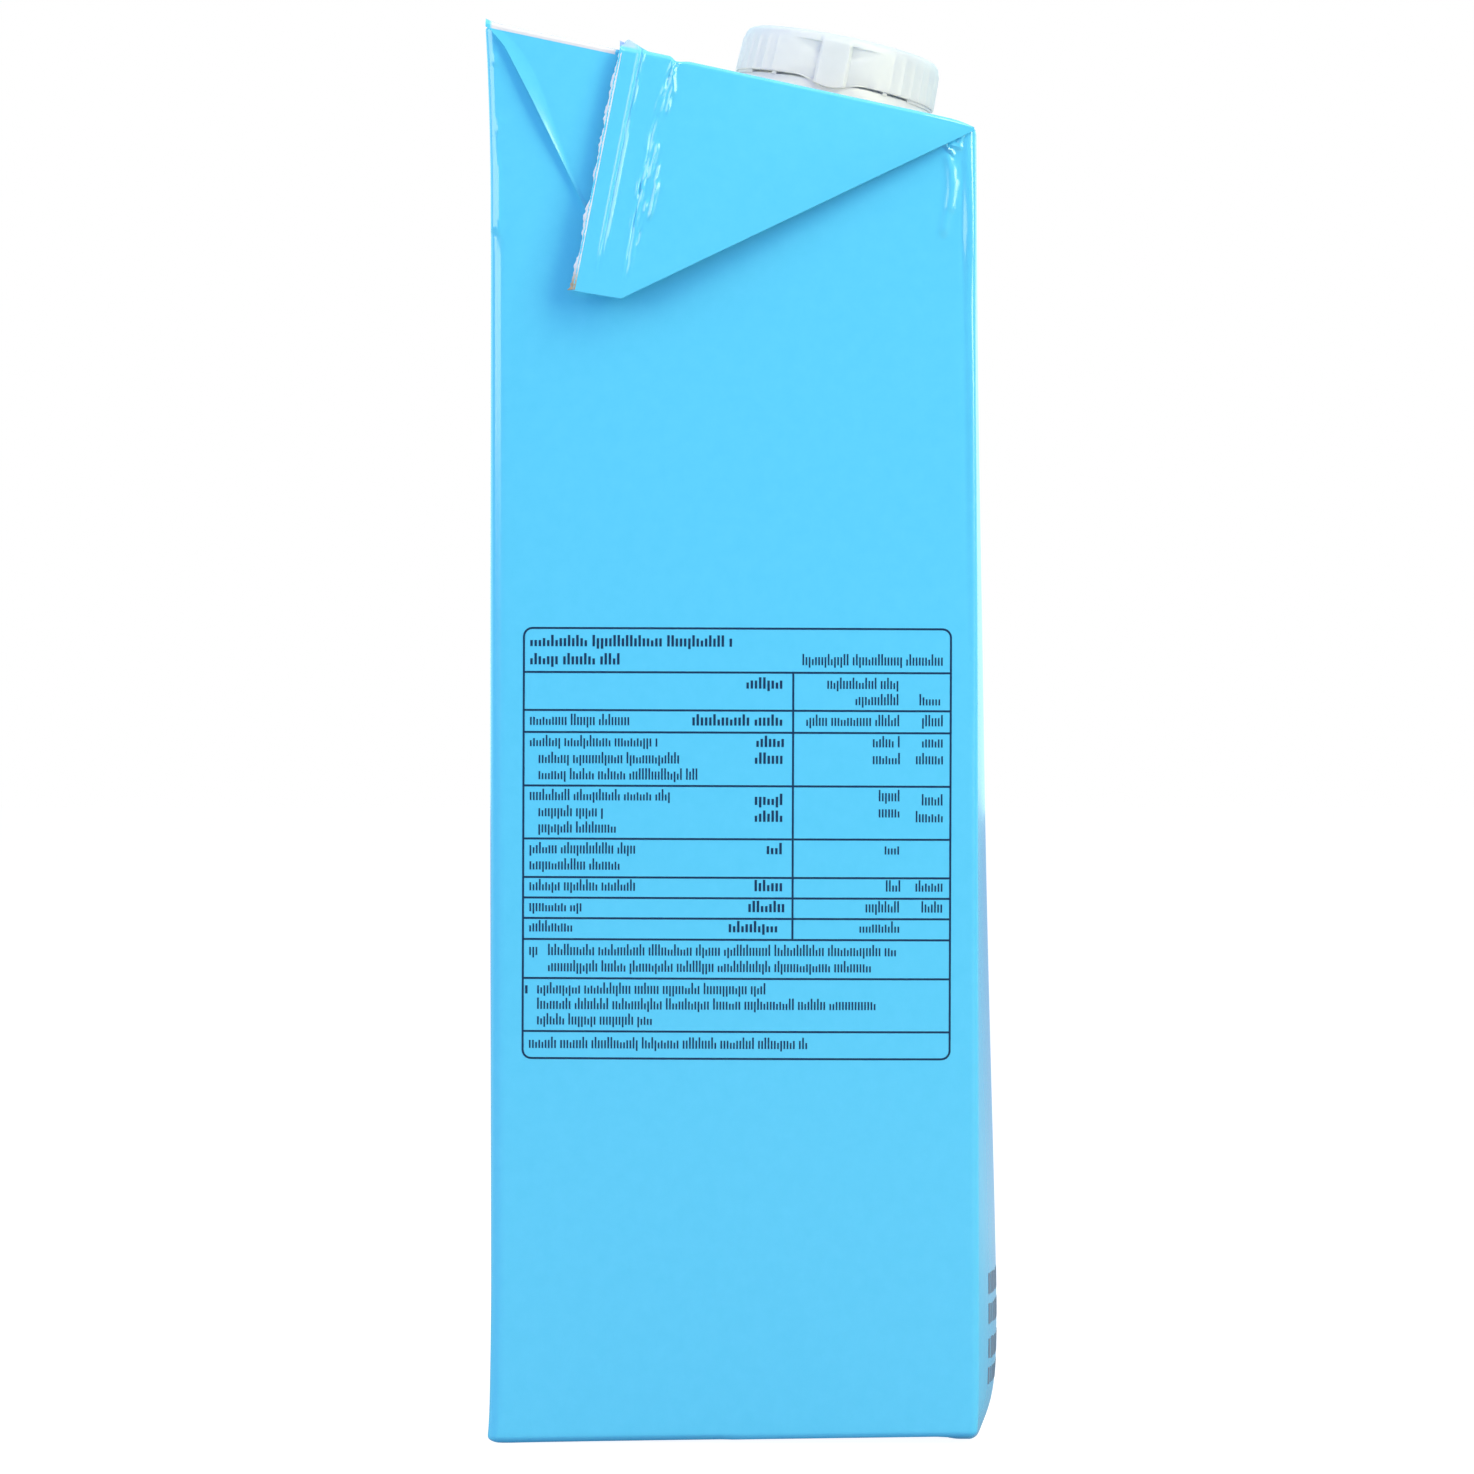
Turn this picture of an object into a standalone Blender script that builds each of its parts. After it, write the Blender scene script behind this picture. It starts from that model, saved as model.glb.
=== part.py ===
"""A one litre milk carton with a sloped top, folded-down ears and a screw cap.

The panel with the printed table faces -Y and the low pouring front faces +X.
The carton stands on Z = 0, with the middle of its base at the origin. Sizes are in metres.
"""

import math

import bmesh
import bpy
from mathutils import Matrix, Vector

MM = 0.001

# Board body
DEPTH = 72.5 * MM          # back fold to front fold, along X
WIDTH = 70.5 * MM          # side panel to side panel, along Y
BACK_HEIGHT = 210.8 * MM   # the tall edge
FRONT_HEIGHT = 195.4 * MM  # the low edge under the pouring side
EDGE_CAMBER = 0.75 * MM    # rise of the sloped top edges above a straight line
FOLD_RADIUS = 1.2 * MM     # rounding of the folds
FOLD_STEPS = 2

# How far each full panel swells beyond its folds
FRONT_SWELL = 4.6 * MM
SWELL_RISE = 3.2 * MM      # the front swells at once above the base
SWELL_PEAK = 15.0 * MM     # height above which the front swell dies down
SWELL_FADE = 90.0 * MM
SWELL_POWER = 1.6
BACK_SWELL = 1.3 * MM
SIDE_SWELL = 1.2 * MM
TOP_SWELL = 0.8 * MM
BACK_FLARE = 0.6 * MM      # the back fold leans out where it meets the top
FLARE_REACH = 9.0 * MM

# Where the body is cut into strips, as shares of half its depth or width, and of its height
STRIPS_ACROSS = (-0.82, -0.55, -0.28, 0.0, 0.28, 0.55, 0.82)
STRIPS_UP = (0.01, 0.02, 0.035, 0.06, 0.09, 0.13, 0.2, 0.3, 0.4, 0.5, 0.6, 0.7, 0.8, 0.9, 0.96)

# Folded ears on the two side panels, and the sealed fin that crosses them and the top
BOARD = 0.45 * MM          # one layer
EAR_THICK = 0.95 * MM      # two layers of board
EAR_SINK = 0.4 * MM        # how deep the ear's root lies in the panel
EAR_LIFT = 1.7 * MM        # how far the ear swings out from its root to its tip
EAR_TIP_X = -16.7 * MM
EAR_TIP_Z = 170.3 * MM
FIN_THICK = 1.2 * MM       # the sealed edge, folded back on itself
FIN_FOOT_X = -23.8 * MM    # lower end of the fin's cut edge
FIN_FOOT_Z = 171.4 * MM
FIN_CUT_X = -16.8 * MM     # upper end of the fin's cut edge
FIN_CREASE_X = -8.5 * MM   # upper end of the fold that lays the fin flat
FIN_SINK = 0.3 * MM        # how deep the fin lies in the ear
FIN_TIP_X = -15.6 * MM     # the bent fin's highest corner
FIN_CREST = 1.7 * MM       # and how far that stands above the top edge
FIN_BEND_X = -12.6 * MM
FIN_BEND_RISE = 0.5 * MM
FIN_NOTCH = 0.5 * MM       # dip beside the crease
FIN_SLANT = 0.5 * MM

# Ears folded under the base, which the carton stands on
BASE_STEP = 0.7 * MM       # thickness of the folded layers under the base
BASE_EAR_INSET = 1.3 * MM
BASE_SEAM_HALF = 4.5 * MM  # half the width of the flat seam across the base

# Screw cap and the ring below it, both square to the sloped top
CAP_X = 15.6 * MM          # middle of the cap's underside
CAP_Z = 204.65 * MM
CAP_TILT = math.radians(12.2)
CAP_HEIGHT = 7.1 * MM
CAP_RADIUS = 15.45 * MM    # at the skirt's foot
CAP_TAPER = 0.3 * MM
CAP_ROUND = 1.3 * MM
CAP_STEPS = 90             # 4 degrees each
RIM_WIDTH = 0.25 * MM      # flat foot of the skirt, outside the ring
TAB_HALF = math.radians(9)
TAB_PROUD = 0.45 * MM
TAB_DROP = 1.0 * MM        # the tab hangs below the skirt
LOBE_ARC = math.radians(72)  # how round its lower end is
SCOOP_END = math.radians(30)
SCOOP_DEPTH = 0.6 * MM
SCOOP_TOP = 1.5 * MM       # height left above the scoops
SKIRT_ROWS = (1.9 * MM, 3.8 * MM, 5.4 * MM)
ROUND_STEPS = 3
TAB_ANGLES = (0.0, math.pi)
SLOT = 0.35 * MM           # open slot between cap and ring
RING_RADIUS = 14.9 * MM
RING_HEIGHT = 2.35 * MM
RING_ROUND = 0.3 * MM
SMOOTH_ANGLE = math.radians(30)
WELD = 0.02 * MM           # points closer than this are one


def clear_scene():
    for old in list(bpy.data.objects):
        bpy.data.objects.remove(old, do_unlink=True)


def make_material(name, colour, roughness):
    material = bpy.data.materials.new(name)
    material.use_nodes = True
    surface = material.node_tree.nodes["Principled BSDF"]
    surface.inputs["Base Color"].default_value = (*colour, 1.0)
    surface.inputs["Roughness"].default_value = roughness
    surface.inputs["Metallic"].default_value = 0.0
    return material


def make_object(name, bm, material=None):
    """A bmesh as an object in the scene, with flat faces shaded flat and folds kept sharp."""
    mesh = bpy.data.meshes.new(name)
    bm.to_mesh(mesh)
    bm.free()
    made = bpy.data.objects.new(name, mesh)
    bpy.context.scene.collection.objects.link(made)
    if material:
        mesh.materials.append(material)
    return made


# Board body


def top_line(x):
    """Height of a straight line from the back top corner to the front one."""
    share = (x + DEPTH / 2) / DEPTH
    return BACK_HEIGHT + share * (FRONT_HEIGHT - BACK_HEIGHT)


def top_height(x):
    """Height of the sloped top edge, which bows up a little between its corners."""
    return top_line(x) + EDGE_CAMBER * (1 - (2 * x / DEPTH) ** 2)


def front_swell(z):
    """How far the middle of the front panel stands out: most just above the base."""
    rise = 1 - math.exp(-z / SWELL_RISE)
    above = max(0.0, z - SWELL_PEAK) / SWELL_FADE
    return FRONT_SWELL * rise / (1 + above ** SWELL_POWER)


def bell(share):
    """0 at both ends, 1 halfway, and steep at the ends."""
    return math.sin(math.pi * min(1.0, max(0.0, share))) ** 0.7


def shape_body_vertex(vertex):
    """Moves a point of the plain block to its place on the filled carton."""
    x, y, share = vertex.co
    across_x = 2 * x / DEPTH
    across_y = 2 * y / WIDTH
    height = top_height(x)
    z = BASE_STEP + share * (height - BASE_STEP)
    middle_x = max(0.0, 1 - across_x ** 2)
    middle_y = max(0.0, 1 - across_y ** 2)
    if x > 0:
        x += front_swell(z) * middle_y * across_x ** 6
    else:
        flare = BACK_FLARE * math.exp((z - height) / FLARE_REACH)
        x -= (BACK_SWELL * bell(share) * middle_y + flare) * across_x ** 6
    y += math.copysign(SIDE_SWELL * bell(share) * middle_x * across_y ** 6, y)
    z += TOP_SWELL * share ** 12 * middle_x * middle_y
    vertex.co = (x, y, z)


def make_body():
    """A block with rounded folds, cut into strips, then swelled and given its sloped top."""
    bm = bmesh.new()
    bmesh.ops.create_cube(bm, size=1.0)
    bmesh.ops.scale(bm, vec=(DEPTH, WIDTH, BACK_HEIGHT), verts=bm.verts)
    bmesh.ops.bevel(
        bm, geom=bm.edges[:], offset=FOLD_RADIUS, offset_type="OFFSET", segments=FOLD_STEPS,
        profile=0.5, affect="EDGES", material=-1,
    )
    for share in STRIPS_ACROSS:
        for axis, size in ((Vector((1, 0, 0)), DEPTH), (Vector((0, 1, 0)), WIDTH)):
            bmesh.ops.bisect_plane(
                bm, geom=bm.verts[:] + bm.edges[:] + bm.faces[:],
                plane_co=axis * share * size / 2, plane_no=axis,
            )
    for share in STRIPS_UP:
        bmesh.ops.bisect_plane(
            bm, geom=bm.verts[:] + bm.edges[:] + bm.faces[:],
            plane_co=(0, 0, (share - 0.5) * BACK_HEIGHT), plane_no=(0, 0, 1),
        )
    for vertex in bm.verts:
        vertex.co.z = vertex.co.z / BACK_HEIGHT + 0.5
        shape_body_vertex(vertex)
    return make_object("body", bm)


# Ears and fin


def ear_stand_off(x, z):
    """How far outside the side panel's plane the ear's inner face lies."""
    drop = (top_line(x) - z) / (top_line(EAR_TIP_X) - EAR_TIP_Z)
    return EAR_LIFT * drop - EAR_SINK


def make_plate(name, outline, inner, outer, side):
    """A flat plate on one side panel: an outline in X and Z, from inner to outer off the ear's
    inner face. side is -1 for the panel with the table and 1 for the other."""
    bm = bmesh.new()
    corners = [bm.verts.new((x, inner, z)) for x, z in outline]
    plate = bm.faces.new(corners)
    grown = bmesh.ops.extrude_face_region(bm, geom=[plate])
    for item in grown["geom"]:
        if isinstance(item, bmesh.types.BMVert):
            item.co.y = outer
    for vertex in bm.verts:
        out = WIDTH / 2 + ear_stand_off(vertex.co.x, vertex.co.z) + vertex.co.y
        vertex.co.y = side * out
    bmesh.ops.recalc_face_normals(bm, faces=bm.faces[:])
    return make_object(name, bm)


def make_ear(side):
    """The triangular ear, from corner to corner of the top edge down to its tip."""
    back = -DEPTH / 2 + FOLD_RADIUS
    front = DEPTH / 2 - FOLD_RADIUS
    outline = (
        (back, top_line(back) - BOARD),
        (front, top_line(front) - BOARD),
        (EAR_TIP_X, EAR_TIP_Z),
    )
    return make_plate("ear", outline, 0.0, EAR_THICK, side)


def make_fin_strip(side):
    """The sealed edge on an ear, laid flat towards the back, with its bent corner on top."""
    outline = (
        (FIN_FOOT_X, FIN_FOOT_Z),
        (EAR_TIP_X, EAR_TIP_Z),
        (FIN_CREASE_X, top_height(FIN_CREASE_X) - FIN_NOTCH),
        (FIN_CREASE_X - FIN_SLANT, top_height(FIN_CREASE_X)),
        (FIN_BEND_X, top_height(FIN_BEND_X) + FIN_BEND_RISE),
        (FIN_TIP_X, top_height(FIN_TIP_X) + FIN_CREST),
        (FIN_CUT_X, top_height(FIN_CUT_X)),
    )
    return make_plate("fin_strip", outline, EAR_THICK - FIN_SINK, EAR_THICK + FIN_THICK, side)


def make_top_fin():
    """The same fin where it crosses the top, lying towards the back with its edge raised."""
    half = WIDTH / 2 + EAR_THICK
    root = TOP_SWELL - BASE_STEP - EAR_THICK
    section = (
        (FIN_CREASE_X, top_height(FIN_CREASE_X) + root),
        (FIN_CREASE_X - FIN_SLANT, top_height(FIN_CREASE_X) + TOP_SWELL + FIN_BEND_RISE),
        (FIN_TIP_X, top_height(FIN_TIP_X) + FIN_CREST),
        (FIN_CUT_X, top_height(FIN_CUT_X) + TOP_SWELL),
        (FIN_CUT_X + FIN_SLANT, top_height(FIN_CUT_X) + root),
    )
    bm = bmesh.new()
    end = bm.faces.new([bm.verts.new((x, -half, z)) for x, z in section])
    grown = bmesh.ops.extrude_face_region(bm, geom=[end])
    moved = [item for item in grown["geom"] if isinstance(item, bmesh.types.BMVert)]
    bmesh.ops.translate(bm, vec=(0, 2 * half, 0), verts=moved)
    bmesh.ops.recalc_face_normals(bm, faces=bm.faces[:])
    return make_object("top_fin", bm)


def make_base_ears():
    """Two triangular ears folded under the base, with the flat seam between their tips."""
    x = DEPTH / 2 - BASE_EAR_INSET
    y = WIDTH / 2 - BASE_EAR_INSET
    seam = BASE_SEAM_HALF
    tip = seam * y / x
    near_ear = ((-seam, -tip), (-x, -y), (x, -y), (seam, -tip))
    far_ear = ((seam, tip), (x, y), (-x, y), (-seam, tip))
    outline = near_ear + far_ear
    bm = bmesh.new()
    sole = bm.faces.new([bm.verts.new((px, py, 0.0)) for px, py in outline])
    grown = bmesh.ops.extrude_face_region(bm, geom=[sole])
    moved = [item for item in grown["geom"] if isinstance(item, bmesh.types.BMVert)]
    bmesh.ops.translate(bm, vec=(0, 0, BASE_STEP + BOARD), verts=moved)
    bmesh.ops.recalc_face_normals(bm, faces=bm.faces[:])
    return make_object("base_ears", bm)


def make_carton(material):
    """One solid of folded board: the body with everything folded onto it."""
    body = make_body()
    pieces = bpy.data.collections.new("folded_board")
    folded = [make_top_fin(), make_base_ears()]
    for side in (-1, 1):
        folded += [make_ear(side), make_fin_strip(side)]
    for piece in folded:
        pieces.objects.link(piece)
    union = body.modifiers.new("join", "BOOLEAN")
    union.operation = "UNION"
    union.operand_type = "COLLECTION"
    union.collection = pieces
    union.solver = "EXACT"
    view = bpy.context.evaluated_depsgraph_get()
    joined = bpy.data.meshes.new_from_object(body.evaluated_get(view))
    carton = bpy.data.objects.new("carton", joined)
    bpy.context.scene.collection.objects.link(carton)
    for piece in folded + [body]:
        bpy.data.objects.remove(piece, do_unlink=True)
    bpy.data.collections.remove(pieces)
    bm = bmesh.new()
    bm.from_mesh(joined)
    bmesh.ops.remove_doubles(bm, verts=bm.verts[:], dist=WELD)
    bmesh.ops.triangulate(bm, faces=bm.faces[:])
    bm.to_mesh(joined)
    bm.free()
    joined.materials.clear()
    joined.materials.append(material)
    joined.shade_smooth()
    joined.set_sharp_from_angle(angle=SMOOTH_ANGLE)
    return carton


# Cap and ring


def turn(profile, steps):
    """A closed turned solid from (radius, height) points that start and end on the axis."""
    bm = bmesh.new()
    points = [bm.verts.new((0.0, -radius, height)) for radius, height in profile]
    line = [bm.edges.new(pair) for pair in zip(points, points[1:])]
    bmesh.ops.spin(
        bm, geom=points + line, cent=(0, 0, 0), axis=(0, 0, 1), dvec=(0, 0, 0),
        angle=2 * math.pi, steps=steps, use_merge=True, use_duplicate=False,
    )
    bmesh.ops.remove_doubles(bm, verts=bm.verts[:], dist=WELD)
    bmesh.ops.recalc_face_normals(bm, faces=bm.faces[:])
    return bm


def tab_angle(vertex):
    """Angle round the axis between a point and the nearest tab."""
    around = math.atan2(vertex.co.x, -vertex.co.y)
    gaps = [abs((around - middle + math.pi) % (2 * math.pi) - math.pi) for middle in TAB_ANGLES]
    return min(gaps)


def skirt_relief(apart, height):
    """What the skirt gains or loses in radius at an angle from a tab: the tab stands proud,
    and the finger scoop beside it runs out towards the plain skirt."""
    if apart < TAB_HALF:
        return TAB_PROUD
    in_scoop = SKIRT_ROWS[0] - WELD < height < CAP_HEIGHT - SCOOP_TOP
    if apart > SCOOP_END or not in_scoop:
        return 0.0
    return -SCOOP_DEPTH * (SCOOP_END - apart) / (SCOOP_END - TAB_HALF)


def cap_profile():
    """Half of the cap's outline, from the middle of its underside to the middle of its top."""
    profile = [(0.0, 0.0), (CAP_RADIUS - RIM_WIDTH, 0.0), (CAP_RADIUS, 0.0)]
    for row in SKIRT_ROWS:
        profile.append((CAP_RADIUS - CAP_TAPER * row / CAP_HEIGHT, row))
    for step in range(ROUND_STEPS + 1):
        turned = math.pi / 2 * step / ROUND_STEPS
        radius = CAP_RADIUS - CAP_TAPER - CAP_ROUND * (1 - math.cos(turned))
        profile.append((radius, CAP_HEIGHT - CAP_ROUND * (1 - math.sin(turned))))
    profile.append((0.0, CAP_HEIGHT))
    return profile


def make_cap(material):
    """Shallow screw cap: tapered skirt, rounded top edge, two tabs with scoops beside them."""
    bm = turn(cap_profile(), CAP_STEPS)
    rim = CAP_RADIUS - RIM_WIDTH / 2
    for vertex in bm.verts:
        radius = math.hypot(vertex.co.x, vertex.co.y)
        on_skirt = radius > CAP_RADIUS - CAP_ROUND and vertex.co.z > WELD
        if radius > rim or (on_skirt and vertex.co.z < CAP_HEIGHT - CAP_ROUND / 2):
            grown = 1 + skirt_relief(tab_angle(vertex), vertex.co.z) / radius
            vertex.co.x *= grown
            vertex.co.y *= grown
    feet = []
    for face in bm.faces:
        flat = all(vertex.co.z < WELD for vertex in face.verts)
        outside = all(vertex.co.xy.length > CAP_RADIUS - RIM_WIDTH - WELD for vertex in face.verts)
        if flat and outside and all(tab_angle(vertex) < TAB_HALF for vertex in face.verts):
            feet.append(face)
    grown = bmesh.ops.extrude_face_region(bm, geom=feet)
    for item in grown["geom"]:
        if isinstance(item, bmesh.types.BMVert):
            lobe = math.cos(tab_angle(item) / TAB_HALF * LOBE_ARC)
            item.co.z -= TAB_DROP * lobe
    bmesh.ops.delete(bm, geom=feet, context="FACES")
    bmesh.ops.recalc_face_normals(bm, faces=bm.faces[:])
    return place_on_top("cap", bm, material)


def make_ring(material):
    """The ring that stays on the carton when the cap is first opened."""
    top = -SLOT
    foot = top - RING_HEIGHT
    profile = (
        (0.0, foot),
        (RING_RADIUS, foot),
        (RING_RADIUS, top - RING_ROUND),
        (RING_RADIUS - RING_ROUND, top),
        (0.0, top),
    )
    return place_on_top("ring", turn(profile, CAP_STEPS), material)


def place_on_top(name, bm, material):
    """Tilts a turned piece forward onto the sloped top and smooths its round faces."""
    bmesh.ops.triangulate(bm, faces=bm.faces[:])
    made = make_object(name, bm, material)
    made.matrix_world = Matrix.Translation((CAP_X, 0, CAP_Z)) @ Matrix.Rotation(CAP_TILT, 4, "Y")
    made.data.shade_smooth()
    made.data.set_sharp_from_angle(angle=SMOOTH_ANGLE)
    return made


def main():
    clear_scene()
    board = make_material("coated_board_sky_blue", (0.12, 0.67, 0.96), 0.35)
    plastic = make_material("moulded_polyethylene_white", (0.86, 0.88, 0.9), 0.4)
    make_carton(board)
    make_cap(plastic)
    make_ring(plastic)


main()
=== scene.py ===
"""The looks of a one litre milk carton: folded coated board, a sealed fin and a moulded cap.

The panel with the printed table faces -Y, the low pouring front faces +X, and the carton
stands on Z = 0. Sizes named in MM are millimetres turned to metres.
"""

import math
import random

import bmesh
import bpy
from mathutils import Matrix, Vector, noise


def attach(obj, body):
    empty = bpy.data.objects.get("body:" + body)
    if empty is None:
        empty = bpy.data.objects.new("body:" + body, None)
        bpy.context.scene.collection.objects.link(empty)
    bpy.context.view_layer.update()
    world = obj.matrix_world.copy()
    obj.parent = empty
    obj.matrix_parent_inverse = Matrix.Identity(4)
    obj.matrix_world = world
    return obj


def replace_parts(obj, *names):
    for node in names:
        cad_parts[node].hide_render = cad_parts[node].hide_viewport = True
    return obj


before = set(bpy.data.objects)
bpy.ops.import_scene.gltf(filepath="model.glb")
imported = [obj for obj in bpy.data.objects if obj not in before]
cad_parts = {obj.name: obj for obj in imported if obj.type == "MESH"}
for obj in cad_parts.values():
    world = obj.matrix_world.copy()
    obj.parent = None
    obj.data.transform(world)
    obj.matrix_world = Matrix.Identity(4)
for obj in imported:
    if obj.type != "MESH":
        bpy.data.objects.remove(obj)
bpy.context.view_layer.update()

MM = 0.001

# Folded body, as the frame's carton has it
DEPTH = 72.5 * MM
WIDTH = 70.5 * MM
BACK_HEIGHT = 210.8 * MM
FRONT_HEIGHT = 195.4 * MM
EDGE_CAMBER = 0.15 * MM         # the upper edge of a side panel bows up this far
FRONT_EAR_RISE = 0.71 * MM      # how far the ears stand above that edge
BACK_EAR_RISE = 0.45 * MM
FRONT_CORNER_RISE = 0.35 * MM
BASE_STEP = 0.03 * MM           # the board's lower edge stands this far above the table
CORNER_FROM = 28 * MM           # from a panel's middle to the strip beside its fold
CORNER_WIDE = 7 * MM

# Reach of the folds. The upright ones change from a height above the box's middle on
FRONT_FOLD = 0.9 * MM
FOLD = 1.6 * MM                 # the front folds are this soft near the top
SOFT_FROM = 60 * MM
SOFT_REACH = 25 * MM
BACK_FOLD = 2.1 * MM
TIGHT_FROM = 73.6 * MM
TIGHT_REACH = 2 * MM
TIGHTER = 0.42                  # the back folds lose this share near the top
EDGE_FOLD = 0.6 * MM            # round the top
BASE_FOLD = 1.1 * MM            # and round the base

# How far the filled panels leave their flat places
PANEL_FULLNESS = 0.7            # below 1, a panel is full well towards its edges
OFF_PANEL = 6                   # power by which a panel's shift dies away behind it
FRONT_SWELL = 4.05 * MM         # the milk presses the front out most near the base
SWELL_RISE = 3.3 * MM           # it grows over this height
SWELL_PEAK = 15.0 * MM          # and fades from here up
SWELL_FADE = 86.0 * MM
SWELL_POWER = 1.6
FRONT_DRAW_IN = 0.3 * MM        # the front folds draw in towards the top
DRAW_IN_FROM = 110 * MM
DRAW_IN_REACH = 60 * MM
BACK_SWELL = 1.0 * MM
BACK_WAIST = 0.25 * MM          # the back folds draw in at middle height
WAIST_REACH = 25 * MM
BACK_FLARE = 0.6 * MM           # and spread at the top and the base
FLARE_REACH = 9.0 * MM
BASE_FLARE = 0.45 * MM
BASE_FLARE_REACH = 3 * MM
SIDE_SWELL = 1.2 * MM
SHOULDER = 0.7 * MM             # the side panels round off towards the upper front folds
SHOULDER_FROM = 33.4 * MM
SHOULDER_WIDE = 2.8 * MM
SHOULDER_LOW = 90 * MM
SHOULDER_TALL = 80 * MM
PINCH = 0.95 * MM               # and a little more where they are pinched
PINCH_AT = 181.0 * MM
PINCH_REACH = 9 * MM
FRONT_LIFT = 1.02 * MM          # the side panels' lower edges rise towards the front
LIFT_FROM = -33 * MM
LIFT_REACH = 63 * MM
LIFT_POWER = 0.85
LIFT_FADE = 10 * MM
TOP_SWELL = 0.8 * MM
TOP_POWER = 12                  # such powers keep a shift near the top or the base
CORNER_POWER = 20
BASE_DISH = 1.0 * MM            # the base panel is drawn up this far at its middle
BASE_POWER = 40

# Folds under the base: half width and distance from the middle at an ear's root and tip
BASE_EAR_ROOT = (DEPTH / 2 - 2.2 * MM, WIDTH / 2 - 1.3 * MM)
BASE_EAR_TIP = (1.0 * MM, 2.0 * MM)
BASE_EAR_LOW = 0.34 * MM        # height above the table
BASE_EAR_THICK = 0.45 * MM
BASE_EAR_WAVE = 0.06 * MM
BASE_WAVE_LENGTH = 15 * MM
BASE_TURN = 1.5 * MM            # how far the folds turn up at the panel, over these shares
BASE_EAR_TURN = 0.22
BASE_FIN_TURN = 0.28
BASE_FIN_WIDTH = 8.0 * MM
BASE_FIN_ENDS = (WIDTH / 2 - 2.2 * MM, 3.0 * MM)
BASE_FIN_LOW = 0.06 * MM
BASE_FIN_THICK = 0.28 * MM
BASE_FIN_SEAL = 0.1 * MM        # how far its seal line is pressed up

# Seam on the back
SEAM_AT = 9.0 * MM
SEAM_WIDTH = 8.0 * MM
SEAM_THICK = 0.3 * MM
SEAM_LOW = 2.0 * MM
SEAM_BELOW_TOP = 1.5 * MM
SEAM_GROOVE = 0.07 * MM
SEAM_SUNK = 0.6 * MM            # its back lies inside the panel

# Ears and fin
EAR_THICK = 0.95 * MM
EAR_GAP = 0.14 * MM             # air behind an ear at its root
EAR_LIFT = 1.4 * MM             # and how much more there is at its tip
EAR_ROLL = 0.72 * MM            # radius of the fold over the top edge
BACK_EAR_CLOSE = 0.15           # the back half lies this much closer
EDGE_CURL = 0.29                # slope of the back half's free edge where it curls outward
FIN_THICK = 1.25 * MM
BACK_CORNER = (-36.75 * MM, 211.1 * MM)
FRONT_CORNER = (35.8 * MM, 195.4 * MM)
EAR_TIP = (-16.6 * MM, 169.85 * MM)
FIN_FOOT = (-23.7 * MM, 171.05 * MM)
FIN_CUT_X = -16.8 * MM
FIN_CREASE_X = -8.4 * MM
CREASE_BOW = 0.95 * MM
SEAL_FROM_CUT = 3.15 * MM       # from the fin's cut edge to the pressed seal line
CUT_RAGGED = 0.12 * MM          # how uneven the cut edge is, and over what length
CUT_LENGTH = 0.9 * MM

# Cap and ring, turned about an axis square to the sloped top
CAP_X = 15.6 * MM
CAP_Z = 204.65 * MM
CAP_TILT = math.radians(11.7)
CAP_HEIGHT = 7.1 * MM
CAP_RADIUS = 15.45 * MM
CAP_TAPER = 0.3 * MM
CAP_ROUND = 1.3 * MM

# Camera: it looks straight at the side panel, level, from this far
CAMERA_AWAY = 900.0 * MM
CAMERA_X = 0.58 * MM
CAMERA_Z = 105.06 * MM
VIEW_WIDTH = 218.9 * MM         # what the photograph's width spans at the side panel
SENSOR = 36.0


# Small helpers


def smooth(share):
    """0 below 0, 1 above 1, and an S curve between them."""
    share = min(1.0, max(0.0, share))
    return share * share * (3 - 2 * share)


def mix(start, end, share):
    return start + (end - start) * share


def top_line(x):
    """Height of the straight line from the top's back edge to its front edge."""
    return mix(BACK_HEIGHT, FRONT_HEIGHT, (x + DEPTH / 2) / DEPTH)


def top_height(x):
    """Height of the side panels' upper edge, with its slight camber."""
    return top_line(x) + EDGE_CAMBER * (1 - (2 * x / DEPTH) ** 2)


def bell(share):
    """0 at both ends and 1 in the middle, with the full shoulders of a filled panel."""
    return math.sin(math.pi * min(1.0, max(0.0, share))) ** PANEL_FULLNESS


def hump(away, half, high=1.0):
    """Height of a round ridge, or of a groove where high is below 0, away from its line."""
    return high * math.exp(-(away / half) ** 2)


def front_swell(z):
    """How far the front panel is pressed out at a height, along its middle."""
    rise = 1 - math.exp(-max(0.0, z) / SWELL_RISE)
    above = max(0.0, z - SWELL_PEAK) / SWELL_FADE
    return FRONT_SWELL * rise / (1 + above ** SWELL_POWER)


CREASE_RUN_OUT = 0.3    # a crease dies away past its ends, in shares of its length
CREASE_FADE = 0.4
CREASE_REACH = 3        # and to its sides, in half widths


def ridge(x, z, line):
    """Height of a straight ridge or groove at a point: line is start x and z, end x and z,
    half width and height, all in millimetres, and it dies away at both ends."""
    x0, z0, x1, z1, half, high = line
    run_x = x1 - x0
    run_z = z1 - z0
    length = math.hypot(run_x, run_z)
    along = ((x - x0) * run_x + (z - z0) * run_z) / length ** 2
    if along < -CREASE_RUN_OUT or along > 1 + CREASE_RUN_OUT:
        return 0.0
    aside = abs((x - x0) * run_z - (z - z0) * run_x) / length
    if aside > CREASE_REACH * half:
        return 0.0
    fade = smooth((along + CREASE_RUN_OUT) / CREASE_FADE)
    fade *= smooth((1 + CREASE_RUN_OUT - along) / CREASE_FADE)
    return fade * hump(aside, half, high)


def relief(x, z, lines):
    """The highest ridge and the deepest groove at a point given in metres, in metres."""
    heights = [ridge(x / MM, z / MM, line) for line in lines]
    return MM * (max(0.0, *heights) + min(0.0, *heights))


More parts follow.
